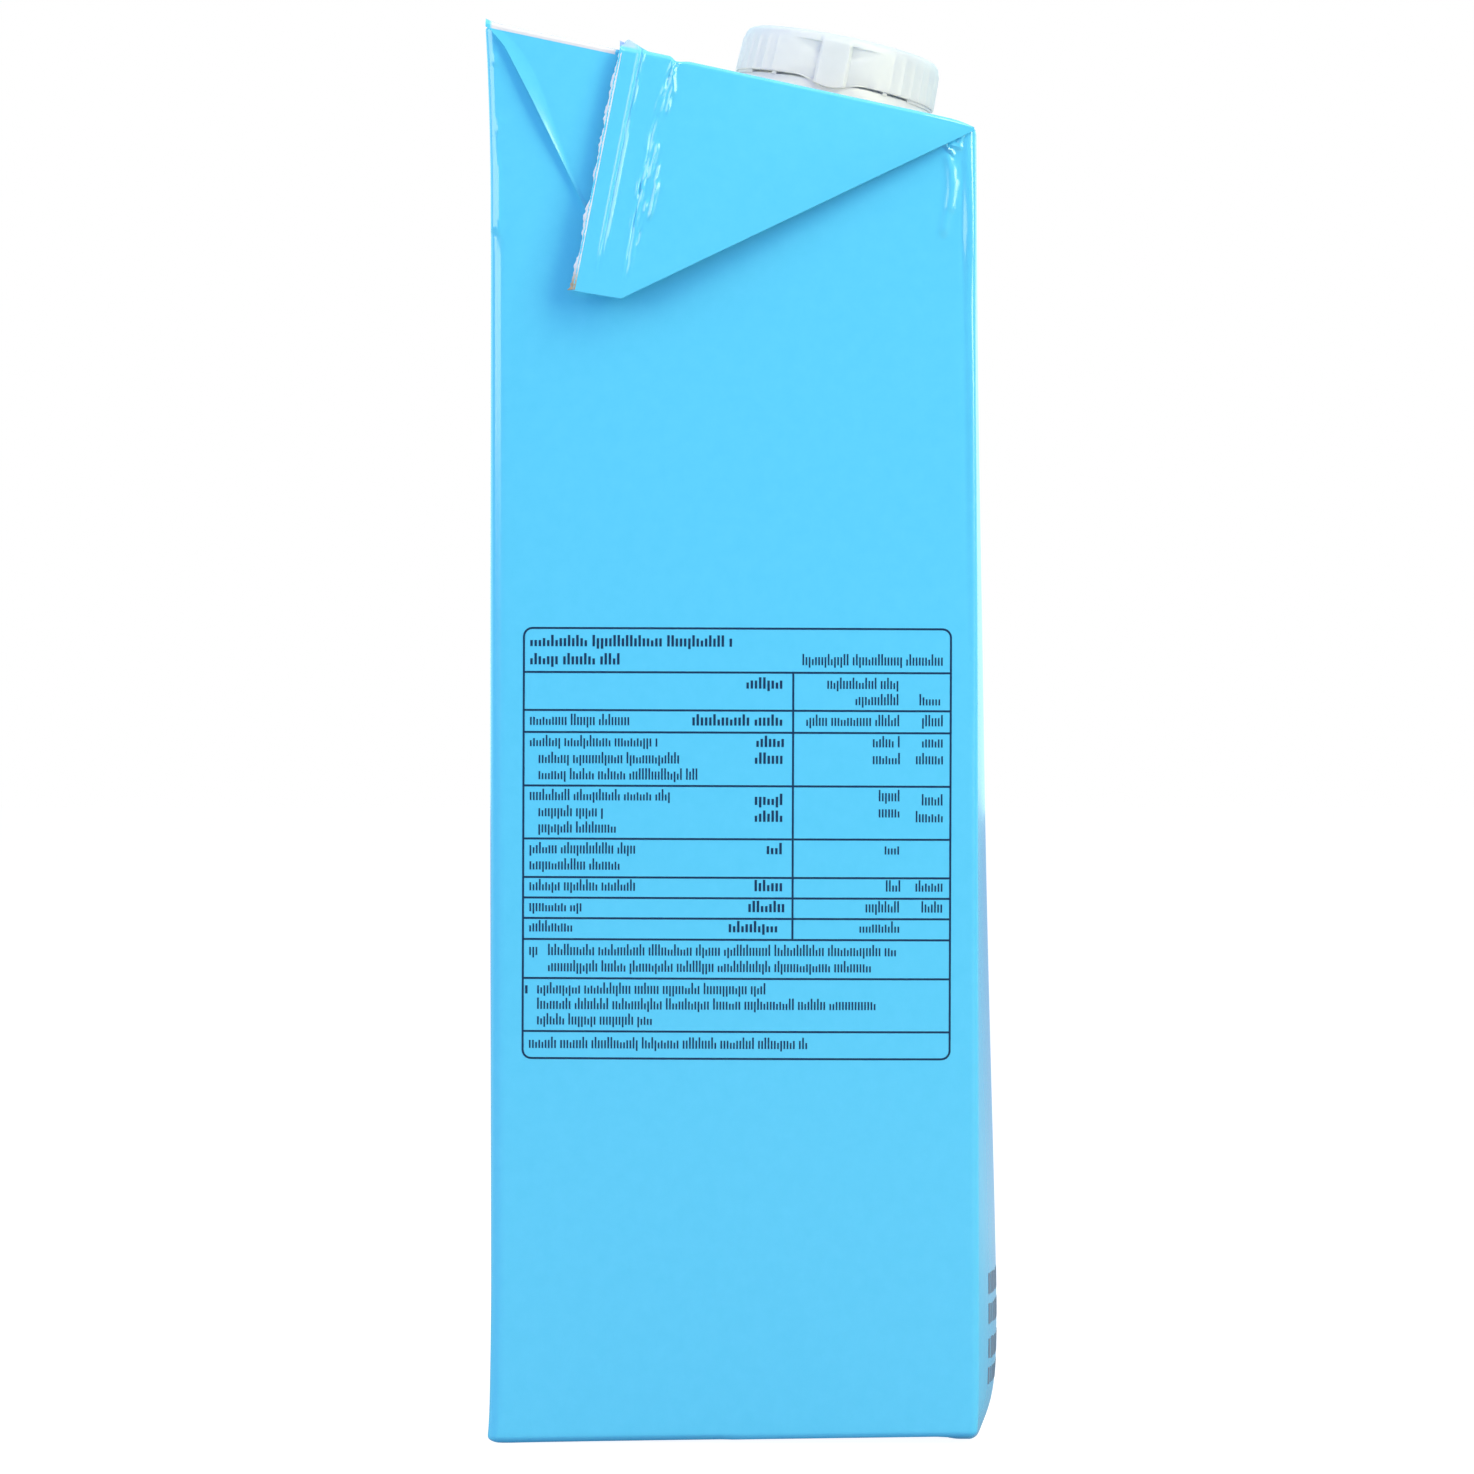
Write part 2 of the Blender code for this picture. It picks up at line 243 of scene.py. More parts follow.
def flat_sheet(x_cells, y_cells):
    """A flat square of cells, from -0.5 to 0.5 both ways, to be bent into a piece."""
    bm = bmesh.new()
    bmesh.ops.create_grid(bm, x_segments=x_cells, y_segments=y_cells, size=0.5)
    return bm


def give_thickness(bm, shift, cut_edge=()):
    """Gives a flat sheet a second layer at the given shift, and closes it. The new faces
    along the points of a cut edge get the second material, the raw board's."""
    outer = bm.faces[:]
    grown = bmesh.ops.extrude_face_region(bm, geom=outer)
    for item in grown["geom"]:
        if isinstance(item, bmesh.types.BMVert):
            item.co = [place + step for place, step in zip(item.co, shift)]
    for face in bm.faces:
        on_cut = sum(vertex in cut_edge for vertex in face.verts)
        if on_cut == 2 and face not in outer:
            face.material_index = 1
    bmesh.ops.recalc_face_normals(bm, faces=bm.faces[:])


def put_in_scene(name, data):
    """A new object with this data, in the scene at the origin."""
    made = bpy.data.objects.new(name, data)
    bpy.context.scene.collection.objects.link(made)
    return made


def make_piece(name, bm, materials, smooth_angle=40):
    """A bmesh as a finished piece that rides on the carton's one body."""
    mesh = bpy.data.meshes.new(name)
    bm.to_mesh(mesh)
    bm.free()
    for material in materials:
        mesh.materials.append(material)
    made = put_in_scene(name, mesh)
    mesh.shade_smooth()
    mesh.set_sharp_from_angle(angle=math.radians(smooth_angle))
    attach(made, "root")
    return made


# Materials


def srgb(code):
    """A hex colour as linear red, green, blue and alpha."""
    parts = [int(code[i:i + 2], 16) / 255 for i in (1, 3, 5)]
    return (*[c / 12.92 if c <= 0.04045 else ((c + 0.055) / 1.055) ** 2.4 for c in parts], 1.0)


def fill(tree, node, inputs):
    """Gives a node's inputs their values or links."""
    for name, value in inputs.items():
        if isinstance(value, bpy.types.NodeSocket):
            tree.links.new(value, node.inputs[name])
        else:
            node.inputs[name].default_value = value


def add(tree, kind, inputs=None, **settings):
    """Adds a shader node with its settings and its inputs' values or links."""
    made = tree.nodes.new("ShaderNode" + kind)
    for name, value in settings.items():
        setattr(made, name, value)
    fill(tree, made, inputs or {})
    return made


def start_material(name):
    material = bpy.data.materials.new(name)
    material.use_nodes = True
    tree = material.node_tree
    return material, tree, tree.nodes["Principled BSDF"]


def top_masks(tree, place):
    """Two masks from 0 to 1: where the top shows plain white board, and where a pale
    painted highlight is laid on the facet where the fin bends over the top edge."""
    split = add(tree, "SeparateXYZ", {"Vector": place})
    along = split.outputs["X"]
    slope = (FRONT_HEIGHT - BACK_HEIGHT) / DEPTH
    level = add(tree, "Math", {
        0: along, 1: -slope, 2: split.outputs["Z"],
    }, operation="MULTIPLY_ADD").outputs[0]
    aside = add(tree, "Math", {0: split.outputs["Y"]}, operation="ABSOLUTE")
    reach = add(tree, "MapRange", {
        "Value": along, "From Min": FIN_CUT_X - 1 * MM, "From Max": FIN_CUT_X,
        "To Min": WIDTH / 2 + 1.05 * MM, "To Max": WIDTH / 2 - 0.6 * MM,
    })
    inside = add(tree, "Math", {0: reach.outputs[0], 1: aside.outputs[0]}, operation="SUBTRACT")
    edges = []
    for value, near, start_mm, end_mm in (
        (level, top_line(0), -0.5, -0.4),
        (along, BACK_CORNER[0], 0.6, 1.0),
        (inside.outputs[0], 0.0, 0.0, 0.1),
        (level, top_line(0), 0.7, 1.1),
        (along, FIN_CUT_X, 3.4, 2.0),
    ):
        edge = add(tree, "MapRange", {
            "Value": value, "From Min": near + start_mm * MM, "From Max": near + end_mm * MM,
        })
        edges.append(edge.outputs[0])
    on_top, off_corner, off_sides, above_top, on_fin = edges
    plain = add(tree, "Math", {0: on_top, 1: off_corner}, operation="MULTIPLY")
    plain = add(tree, "Math", {0: plain.outputs[0], 1: off_sides}, operation="MULTIPLY")
    # Where the fin bends over the top edge: the mask of the painted highlight on its facet
    bent = add(tree, "Math", {0: above_top, 1: on_fin}, operation="MULTIPLY")
    return plain.outputs[0], bent.outputs[0]


def coated_board():
    """Liquid board, printed and laminated with polyethylene: an even sky blue under a glossy
    film that still shows the board's fibres as a faint unevenness."""
    material, tree, surface = start_material("polyethylene_coated_board")
    place = add(tree, "TexCoord").outputs["Object"]
    plain, bent = top_masks(tree, place)
    cloudy = add(tree, "TexNoise", {
        "Vector": place, "Scale": 1 / (2.4 * MM), "Detail": 4.0, "Roughness": 0.65,
    })
    blue = add(tree, "MixRGB", {
        "Fac": cloudy.outputs["Fac"], "Color1": srgb(BOARD_BLUE_DEEP), "Color2": srgb(BOARD_BLUE),
    })
    # Painted highlight: pale blue laid on the facet where the fin bends over the top edge
    with_facet_highlight = add(tree, "MixRGB", {
        "Fac": bent, "Color1": blue.outputs[0], "Color2": srgb(FIN_FACET_PAINTED_HIGHLIGHT),
    })
    colour = add(tree, "MixRGB", {
        "Fac": plain, "Color1": with_facet_highlight.outputs[0], "Color2": srgb(BOARD_WHITE),
    })
    fibres = add(tree, "TexNoise", {
        "Vector": place, "Scale": 1 / (0.7 * MM), "Detail": 4.0, "Roughness": 0.65,
    })
    pressed = add(tree, "Bump", {
        "Height": fibres.outputs["Fac"], "Strength": 0.25, "Distance": 0.03 * MM,
    })
    shine = add(tree, "MapRange", {
        "Value": fibres.outputs["Fac"], "To Min": 0.17, "To Max": 0.25,
    })
    fill(tree, surface, {
        "Base Color": colour.outputs[0], "Normal": pressed.outputs[0],
        "Roughness": shine.outputs[0], "IOR": 1.5,
        "Coat Weight": 1.0, "Coat Roughness": 0.12, "Coat IOR": 1.5,
    })
    return material


def cut_board():
    """The raw edge where the fin was sawn through: bleached paper fibres, brown at its foot."""
    material, tree, surface = start_material("raw_paper_fibre")
    place = add(tree, "TexCoord").outputs["Object"]
    split = add(tree, "SeparateXYZ", {"Vector": place})
    above_foot = add(tree, "MapRange", {
        "Value": split.outputs["Z"],
        "From Min": FIN_FOOT[1] + 1.0 * MM, "From Max": FIN_FOOT[1] + 3.5 * MM,
    })
    fibre = add(tree, "TexNoise", {
        "Vector": place, "Scale": 1 / (0.5 * MM), "Detail": 5.0, "Roughness": 0.75,
    })
    white = add(tree, "MixRGB", {
        "Fac": fibre.outputs["Fac"], "Color1": srgb("#d6dde0"), "Color2": srgb("#fffdf9"),
    })
    brown = add(tree, "MixRGB", {
        "Fac": fibre.outputs["Fac"], "Color1": srgb("#8c7355"), "Color2": srgb("#d8c4a4"),
    })
    colour = add(tree, "MixRGB", {
        "Fac": above_foot.outputs[0], "Color1": brown.outputs[0], "Color2": white.outputs[0],
    })
    rough = add(tree, "Bump", {
        "Height": fibre.outputs["Fac"], "Strength": 0.8, "Distance": 0.1 * MM,
    })
    fill(tree, surface, {
        "Base Color": colour.outputs[0], "Normal": rough.outputs[0], "Roughness": 0.9,
    })
    return material


def cap_plastic():
    """Injection moulded polyethylene: white, slightly cloudy, so light soaks in a little."""
    material, tree, surface = start_material("moulded_polyethylene")
    place = add(tree, "TexCoord").outputs["Object"]
    cloud = add(tree, "TexNoise", {"Vector": place, "Scale": 1 / (3 * MM), "Detail": 2.0})
    colour = add(tree, "MixRGB", {
        "Fac": cloud.outputs["Fac"], "Color1": srgb("#d6dbd8"), "Color2": srgb("#dfe3e0"),
    })
    grain = add(tree, "TexNoise", {"Vector": place, "Scale": 1 / (0.35 * MM), "Detail": 2.0})
    pitted = add(tree, "Bump", {"Height": grain.outputs["Fac"], "Strength": 0.15, "Distance": 0.02 * MM})
    fill(tree, surface, {
        "Base Color": colour.outputs[0], "Normal": pitted.outputs[0],
        "Roughness": 0.38, "IOR": 1.51, "Subsurface Weight": 0.35,
        "Subsurface Radius": (1.0, 1.05, 1.15), "Subsurface Scale": 2.0 * MM,
    })
    return material


def printing_ink(name, code):
    """Gravure ink under the film: a thin dark layer, a little uneven in strength."""
    material, tree, surface = start_material(name)
    place = add(tree, "TexCoord").outputs["Object"]
    patchy = add(tree, "TexNoise", {"Vector": place, "Scale": 1 / (0.8 * MM), "Detail": 2.0})
    colour = add(tree, "MixRGB", {
        "Fac": patchy.outputs["Fac"], "Color1": srgb(code[0]), "Color2": srgb(code[1]),
    })
    fill(tree, surface, {"Base Color": colour.outputs[0], "Roughness": 0.32})
    return material


BOARD_BLUE = "#6cddfa"
BOARD_BLUE_DEEP = "#61d6f3"
BOARD_WHITE = "#efe9e2"
# Pale blue of the painted highlight on the fin's bent facet
FIN_FACET_PAINTED_HIGHLIGHT = "#b4d3fa"
board = coated_board()
raw_edge = cut_board()
plastic = cap_plastic()
table_ink = printing_ink("navy_gravure_ink", ("#12304a", "#1b3f5c"))
mark_ink = printing_ink("grey_gravure_ink", ("#66707b", "#858a91"))


# Body: one closed shell with rounded folds


# Short dents and creases on the side panel with the table: start x and z, end x and z,
# half width and height, in millimetres
PANEL_CREASES = (
    (30.8, 193.8, 32.7, 191.5, 0.30, -0.50),
    (32.1, 192.8, 33.9, 192.5, 0.40, 0.34),
    (34.5, 194.8, 33.5, 192.8, 0.34, 0.34),
    (31.9, 191.2, 32.4, 188.6, 0.70, 0.28),
    (32.4, 189.6, 32.5, 186.0, 0.78, 0.36),
    (32.7, 187.6, 32.1, 183.2, 0.78, 0.38),
    (32.3, 184.8, 31.3, 180.2, 0.70, 0.28),
    (-35.3, 206.2, -35.3, 205.0, 0.35, 0.18),
    (-34.7, 196.6, -35.0, 194.9, 0.22, 0.18),
    (-34.9, 190.6, -34.8, 181.5, 0.24, 0.14),
    (-36.2, 179.2, -34.8, 179.4, 0.24, -0.20),
    (36.4, 33.8, 36.7, 33.5, 0.30, -0.25),
)


def side_out(x, z):
    """How far outside the plane through its folds a side panel lies."""
    middle = max(0.0, 1 - (2 * x / DEPTH) ** 2)
    return SIDE_SWELL * bell(z / top_height(x)) * middle


def back_out(across_y, z, height):
    """How far behind its flat place the back panel lies."""
    flare = BACK_FLARE * math.exp((z - height) / FLARE_REACH)
    flare -= BACK_WAIST * smooth(z / WAIST_REACH) * smooth((height - z) / WAIST_REACH)
    flare += BASE_FLARE * math.exp(-z / BASE_FLARE_REACH)
    return BACK_SWELL * bell(z / height) * max(0.0, 1 - across_y ** 2) + flare


def spaced(*runs):
    """Stations in millimetres, from runs of (start, end, number of cells)."""
    stations = [runs[0][0]]
    for start, end, cells in runs:
        stations += [mix(start, end, (step + 1) / cells) for step in range(cells)]
    return stations


def fold_steps(edge, inward, radius, cells=4):
    """Stations across half a fold, spaced so that each turns by the same angle."""
    turns = [math.pi / 4 * (cells - step) / cells for step in range(cells)]
    return [edge + inward * radius * (1 - math.tan(turn)) for turn in turns]


def block_stations(size, radii, *runs):
    """Stations along one axis: the fold at the low end, the runs, the fold at the high end."""
    half = size / MM / 2
    low = fold_steps(-half, 1, radii[0] / MM)
    high = [-value for value in reversed(fold_steps(-half, 1, radii[1] / MM))]
    return [value * MM for value in low + spaced(*runs) + high]


def make_block(stations):
    """A closed box cut along each axis at the given stations."""
    bm = bmesh.new()
    bmesh.ops.create_cube(bm, size=1.0)
    for axis in range(3):
        along = [e for e in bm.edges if abs(e.verts[0].co[axis] - e.verts[1].co[axis]) > 0.5]
        bmesh.ops.subdivide_edges(bm, edges=along, cuts=len(stations[axis]) - 2, use_grid_fill=True)
    for vertex in bm.verts:
        spot = [round((vertex.co[a] + 0.5) * (len(stations[a]) - 1)) for a in range(3)]
        vertex.co = [stations[a][spot[a]] for a in range(3)]
    return bm


def round_folds(vertex, half):
    """Pulls a point of the box onto its rounded edges and corners."""
    if vertex.co.x < 0:
        tight = TIGHTER * smooth((vertex.co.z - TIGHT_FROM) / TIGHT_REACH)
        upright = BACK_FOLD * (1 - tight)
    else:
        upright = mix(FRONT_FOLD, FOLD, smooth((vertex.co.z - SOFT_FROM) / SOFT_REACH))
    reach = (upright, upright, EDGE_FOLD if vertex.co.z > 0 else BASE_FOLD)
    core = Vector([min(h - r, max(r - h, c)) for c, h, r in zip(vertex.co, half, reach)])
    out = Vector([gap / r for gap, r in zip(vertex.co - core, reach)]).normalized()
    vertex.co = core + Vector([o * r for o, r in zip(out, reach)])


CREASED_FROM = 0.9      # only the side panel with the table is creased
CREASED_FADE = 0.08


def swell_body(vertex):
    """Moves a point of the rounded box to its place on the filled and folded carton."""
    x, y, z = vertex.co
    share = z / BACK_HEIGHT + 0.5
    across_x = 2 * x / DEPTH
    across_y = 2 * y / WIDTH
    height = top_height(x)
    z = BASE_STEP + share * (height - BASE_STEP)
    middle_x = max(0.0, 1 - across_x ** 2)
    middle_y = max(0.0, 1 - across_y ** 2)
    if x > 0:
        draw_in = FRONT_DRAW_IN * smooth((z - DRAW_IN_FROM) / DRAW_IN_REACH)
        filled = 1 - min(1.0, abs(across_y)) ** 3
        x += (front_swell(z) * filled - draw_in) * across_x ** OFF_PANEL
    else:
        x -= back_out(across_y, z, height) * across_x ** OFF_PANEL
    out = SIDE_SWELL * bell(share) * middle_x * across_y ** OFF_PANEL
    shoulder = min(1.0, max(0.0, (x - SHOULDER_FROM) / SHOULDER_WIDE)) ** 2
    shoulder *= smooth((z - SHOULDER_LOW) / SHOULDER_TALL) * across_y ** OFF_PANEL
    out -= (SHOULDER + hump(z - PINCH_AT, PINCH_REACH, PINCH)) * shoulder
    if across_y < -CREASED_FROM:
        on_panel = smooth((abs(across_y) - CREASED_FROM) / CREASED_FADE)
        out += relief(x, z, PANEL_CREASES) * on_panel
    y += math.copysign(out, y)
    z += TOP_SWELL * share ** TOP_POWER * middle_x * middle_y
    lift = FRONT_LIFT * min(1.0, max(0.0, (x - LIFT_FROM) / LIFT_REACH)) ** LIFT_POWER
    z += lift * smooth((abs(y) - CORNER_FROM) / CORNER_WIDE) * math.exp(-z / LIFT_FADE)
    z += FRONT_CORNER_RISE * smooth((x - CORNER_FROM) / CORNER_WIDE) * share ** CORNER_POWER
    dished = smooth(middle_x * 4 - 0.5) * smooth(middle_y * 4 - 0.5)
    z += BASE_DISH * (1 - share) ** BASE_POWER * dished
    vertex.co = (x, y, z)


def make_body():
    """The body's shell. Its cells are finest at the folds and where the creases lie."""
    half = (DEPTH / 2, WIDTH / 2, BACK_HEIGHT / 2)
    stations = (
        block_stations(DEPTH, (FOLD, FOLD), (-34.65, -28, 10), (-28, 28, 28), (28, 34.65, 26)),
        block_stations(WIDTH, (FOLD, FOLD), (-33.65, 33.65, 34)),
        block_stations(
            BACK_HEIGHT, (BASE_FOLD, EDGE_FOLD),
            (-104.25, -95, 14), (-95, 74, 68), (74, 104.8, 88),
        ),
    )
    bm = make_block(stations)
    for vertex in bm.verts:
        round_folds(vertex, half)
        swell_body(vertex)
    bmesh.ops.recalc_face_normals(bm, faces=bm.faces[:])
    return make_piece("carton_body", bm, [board])


def make_base_ear(name, side):
    """An ear folded under the base, a triangle whose tip comes near the middle."""
    bm = flat_sheet(40, 30)
    for vertex in bm.verts:
        inward = vertex.co.y + 0.5
        x = 2 * vertex.co.x * mix(BASE_EAR_ROOT[0], BASE_EAR_TIP[0], inward)
        y = side * mix(BASE_EAR_ROOT[1], BASE_EAR_TIP[1], inward)
        wave = noise.noise(Vector((x / BASE_WAVE_LENGTH, y / BASE_WAVE_LENGTH, side)))
        turned_up = BASE_TURN * (1 - smooth(inward / BASE_EAR_TURN))
        vertex.co = (x, y, BASE_EAR_LOW + BASE_EAR_WAVE * wave + turned_up)
    give_thickness(bm, (0, 0, BASE_EAR_THICK))
    return make_piece(name, bm, [board])


def make_base_fin(name, side):
    """The sealed fin's end on an ear under the base, pressed flat, with its seal line."""
    bm = flat_sheet(40, 40)
    for vertex in bm.verts:
        across = vertex.co.x + 0.5
        inward = vertex.co.y + 0.5
        narrow = mix(1.0, 0.3, smooth((inward - 0.75) / 0.25))
        x = (across - 0.2) * BASE_FIN_WIDTH * narrow
        y = side * mix(*BASE_FIN_ENDS, inward)
        dent = hump(across * BASE_FIN_WIDTH - SEAL_FROM_CUT, 0.25 * MM, BASE_FIN_SEAL)
        turned_up = BASE_TURN * (1 - smooth(inward / BASE_FIN_TURN))
        vertex.co = (x, y, BASE_FIN_LOW + dent + turned_up)
    give_thickness(bm, (0, 0, BASE_FIN_THICK))
    return make_piece(name, bm, [board])


def make_back_seam():
    """The lengthwise seam on the back panel: one edge of the sheet glued over the other."""
    bm = flat_sheet(24, 90)
    for vertex in bm.verts:
        across = vertex.co.x + 0.5
        z = mix(SEAM_LOW, BACK_HEIGHT - SEAM_BELOW_TOP, vertex.co.y + 0.5)
        y = SEAM_AT + (across - 0.5) * SEAM_WIDTH
        lift = SEAM_THICK * smooth(across / 0.5) + hump(across - 0.55, 0.06, -SEAM_GROOVE)
        out = DEPTH / 2 + back_out(2 * y / WIDTH, z, BACK_HEIGHT) + lift
        vertex.co = (-out, y, z)
    give_thickness(bm, (SEAM_SUNK, 0, 0))
    return make_piece("back_seam", bm, [board])


# Ears and fin


EAR_DROP = top_line(EAR_TIP[0]) - EAR_TIP[1]

# Wrinkles where the sealing jaws pressed the fin, on the ear that shows: start x and z,
# end x and z, half width and height, in millimetres
FIN_CREASES = (
    (-9.0, 204.6, -8.8, 200.6, 0.32, 0.34),
    (-8.9, 201.6, -9.7, 197.8, 0.22, 0.26),
    (-10.2, 201.0, -11.2, 197.6, 0.18, 0.20),
    (-11.2, 192.4, -12.3, 188.2, 0.22, 0.32),
    (-10.9, 189.8, -11.5, 187.0, 0.18, 0.18),
    (-11.2, 186.8, -12.2, 182.4, 0.24, 0.36),
    (-12.8, 183.9, -13.8, 180.2, 0.20, 0.28),
    (-13.8, 180.6, -15.1, 174.6, 0.20, 0.18),
    (-13.2, 182.4, -14.4, 177.4, 0.18, -0.24),
    (-12.9, 188.4, -14.4, 181.2, 0.17, 0.17),
)


def ear_gap(x, z):
    """Air between the side panel and the ear in front of it."""
    return EAR_GAP + EAR_LIFT * max(0.0, (top_line(x) - z) / EAR_DROP)


def crease_at(down):
    """x of the crease beside the fin, from the top edge (0) to the ear's tip (1)."""
    return mix(FIN_CREASE_X, EAR_TIP[0], down) - CREASE_BOW * math.sin(math.pi * down ** 0.6)


# The fin's bend in millimetres above the top edge, at its cut edge, highest, flat and
# where it dips to the crease, and the shares of its width where these lie
CREST_HEIGHTS = (0.2, 1.45, 0.25, -0.35)
CREST_HIGH_AT = 0.16
CREST_FLAT_AT = 0.5
CREST_DIP_FROM = 0.88


def fin_crest(across):
    """How far the fin stands above the top edge where it bends over, from its cut edge (0)
    to its crease (1)."""
    cut, high, flat, dip = CREST_HEIGHTS
    if across < CREST_HIGH_AT:
        return mix(cut, high, smooth(across / CREST_HIGH_AT)) * MM
    if across < CREST_FLAT_AT:
        return mix(high, flat, (across - CREST_HIGH_AT) / (CREST_FLAT_AT - CREST_HIGH_AT)) * MM
    return mix(flat, dip, smooth((across - CREST_DIP_FROM) / (1 - CREST_DIP_FROM))) * MM


# The small flat facet where the fin bends over the top edge, and the tuck behind it
FACET_BEND = math.radians(36)
FACET_START = 0.4
FACET_DEPTH = 1.3 * MM
FACET_CREST = 0.7 * MM
TUCK_STEP = 1.2 * MM
TUCK_SLOPE = 0.06

# Columns of the fin and of the flap beside it, as shares of their widths, closest where
# the seal line and the wrinkled crease are
FIN_WIDTH = 8.4
FIN_SHARES = [step / FIN_WIDTH for step in spaced(
    (0.0, 0.8, 6), (0.8, 2.5, 6), (2.5, 3.8, 22), (3.8, 5.8, 7), (5.8, FIN_WIDTH, 26),
)]
FLAP_SHARES = spaced((0.0, 0.06, 14), (0.06, 1.0, 48))
FIN_CELLS = len(FIN_SHARES) - 1
FLAP_CELLS = len(FLAP_SHARES) - 1
EAR_ROWS = 84
ROLL_ROWS = 8
TUCK_ROWS = 2


def ear_sheet(columns, rows):
    """A flat grid whose points carry their column in x and their row in y."""
    bm = flat_sheet(columns, rows)
    for vertex in bm.verts:
        vertex.co.x = round((vertex.co.x + 0.5) * columns)
        vertex.co.y = round((vertex.co.y + 0.5) * rows)
    return bm


def roll_over(top, out, row, crest):
    """Height and outward place of a point above the ear's flat part, where the sheet rolls
    over the top edge and tucks onto the top panel. row counts up from the flat part. Where
    the fin stands up, the sheet bends at the edge and leans back as a small flat facet."""
    share = min(1.0, row / ROLL_ROWS)
    turned = math.pi / 2 * share
    up = (EAR_ROLL + crest) * math.sin(turned)
    back = EAR_ROLL * (1 - math.cos(turned))
    facet = smooth(crest / FACET_CREST)
    bent = FACET_BEND * min(1.0, share / FACET_START)
    along = max(0.0, share - FACET_START) / (1 - FACET_START)
    bent_up = EAR_ROLL * math.sin(bent)
    bent_back = EAR_ROLL * (1 - math.cos(bent)) + FACET_DEPTH * along
    bent_up += (EAR_ROLL * (1 - math.sin(FACET_BEND)) + crest) * along
    tuck = max(0, row - ROLL_ROWS) * TUCK_STEP
    z = top - EAR_ROLL + mix(up, bent_up, facet) - TUCK_SLOPE * tuck
    return z, out - mix(back, bent_back, facet) - tuck


FLAP_BOW = 0.25 * MM            # the flap beside the fin bulges this much
CORNER_DROP = 0.55 * MM         # its fold drops to the front corner, over this last share
CORNER_DROP_FROM = 0.92
FLAP_DIP_END = 0.05             # the dip at the crease ends after this share


def front_sheet_place(column, row):
    """Place on the ear's front half and its fin: x, height and distance outside the panel,
    then the crest of the fold above it and the share of the way down. Columns run from the
    fin's cut edge over the crease to the front corner, and rows from the lower edge up over
    the top edge."""
    down = 1 - min(1.0, row / EAR_ROWS)
    cut = mix(FIN_CUT_X, FIN_FOOT[0], down)
    crease = crease_at(down)
    if column <= FIN_CELLS:
        across = FIN_SHARES[column]
        x = mix(cut, crease, across)
        foot = mix(FIN_FOOT[1], EAR_TIP[1], across)
        out = FIN_THICK
        crest = fin_crest(across)
    else:
        share = FLAP_SHARES[column - FIN_CELLS]
        x = mix(crease, FRONT_CORNER[0], share)
        foot = mix(EAR_TIP[1], FRONT_CORNER[1] - 0.3 * MM, share)
        bow = FLAP_BOW * math.sin(math.pi * share) * math.sin(math.pi * down)
        out = FIN_THICK * (1 - share) ** 1.2 + bow
        crest = mix(CREST_HEIGHTS[-1], 0.0, smooth(share / FLAP_DIP_END)) * MM
        to_corner = max(0.0, (share - CORNER_DROP_FROM) / (1 - CORNER_DROP_FROM))
        crest -= CORNER_DROP * to_corner ** 2
    z = mix(top_line(x) + FRONT_EAR_RISE - EAR_ROLL, foot, down)
    return x, z, out, crest, down


def make_front_ear(name, side):
    """Front half of an ear with the sealed fin, one sheet that rolls over the top edge."""
    bm = ear_sheet(FIN_CELLS + FLAP_CELLS, EAR_ROWS + ROLL_ROWS + TUCK_ROWS)
    spots = {}
    for vertex in bm.verts:
        column = int(vertex.co.x)
        row = int(vertex.co.y)
        x, z, out, crest, down = front_sheet_place(column, row)
        settled = mix(0.3, 1.0, smooth((FRONT_CORNER[0] - x) / (8 * MM)))
        out += (EAR_THICK + ear_gap(x, z)) * settled + side_out(x, z)
        if row > EAR_ROWS:
            z, out = roll_over(top_line(x) + FRONT_EAR_RISE, out, row - EAR_ROWS, crest)
        out += pressed_lines(x, z, column, down, side)
        if column == 0:
            x += CUT_RAGGED * noise.noise(Vector((0, side * 3, z / CUT_LENGTH)))
        vertex.co = (x, side * (WIDTH / 2 + out), z)
        spots[vertex] = (column, row)
    close_sheet(bm, spots, side)
    return make_piece(name, bm, [board, raw_edge])


# Lines pressed into the fin: half width and height in millimetres
SEAL_GROOVE = (0.22, -0.16)
SEAL_RIDGE = (0.17, 0.16)
SEAL_RIDGE_APART = 0.41         # from the groove to the ridge on each side of it
CUT_BEAD = (0.6, 0.16)

# The wrinkled crease: distance from its line, half width and height in millimetres
WRINKLES = ((0.0, 0.18, -0.20), (0.38, 0.19, 0.21), (-0.42, 0.2, 0.12))
WRINKLE_WANDER = 0.16
WRINKLE_COLUMNS = 16            # the columns of the flap that it reaches


def pressed_lines(x, z, column, down, side):
    """Relief of the fin: the double seal line, the raised cut edge and the crease's wrinkles."""
    if column > FIN_CELLS + WRINKLE_COLUMNS:
        return 0.0
    from_cut = (x - mix(FIN_CUT_X, FIN_FOOT[0], down)) / MM
    seal = from_cut - SEAL_FROM_CUT / MM
    high = hump(seal, *SEAL_GROOVE) + hump(abs(seal) - SEAL_RIDGE_APART, *SEAL_RIDGE)
    high *= smooth((0.98 - down) / 0.32)
    high += hump(from_cut, *CUT_BEAD)
    aside = (x - crease_at(down)) / MM
    aside += WRINKLE_WANDER * noise.noise(Vector((side * 3, 7, z / (3.5 * MM))))
    strength = 0.55 + 0.9 * noise.noise(Vector((side * 5, 2, z / (2.5 * MM))))
    strength = max(0.15, strength) * smooth((1.0 - down) / 0.25)
    for apart, half, tall in WRINKLES:
        high += strength * hump(aside - apart, half, tall)
    return high * MM + (relief(x, z, FIN_CREASES) if side < 0 else 0.0)


SHEET_THICK = 0.9 * EAR_THICK
EDGE_ROUND = 0.35 * MM          # of the folded lower edge


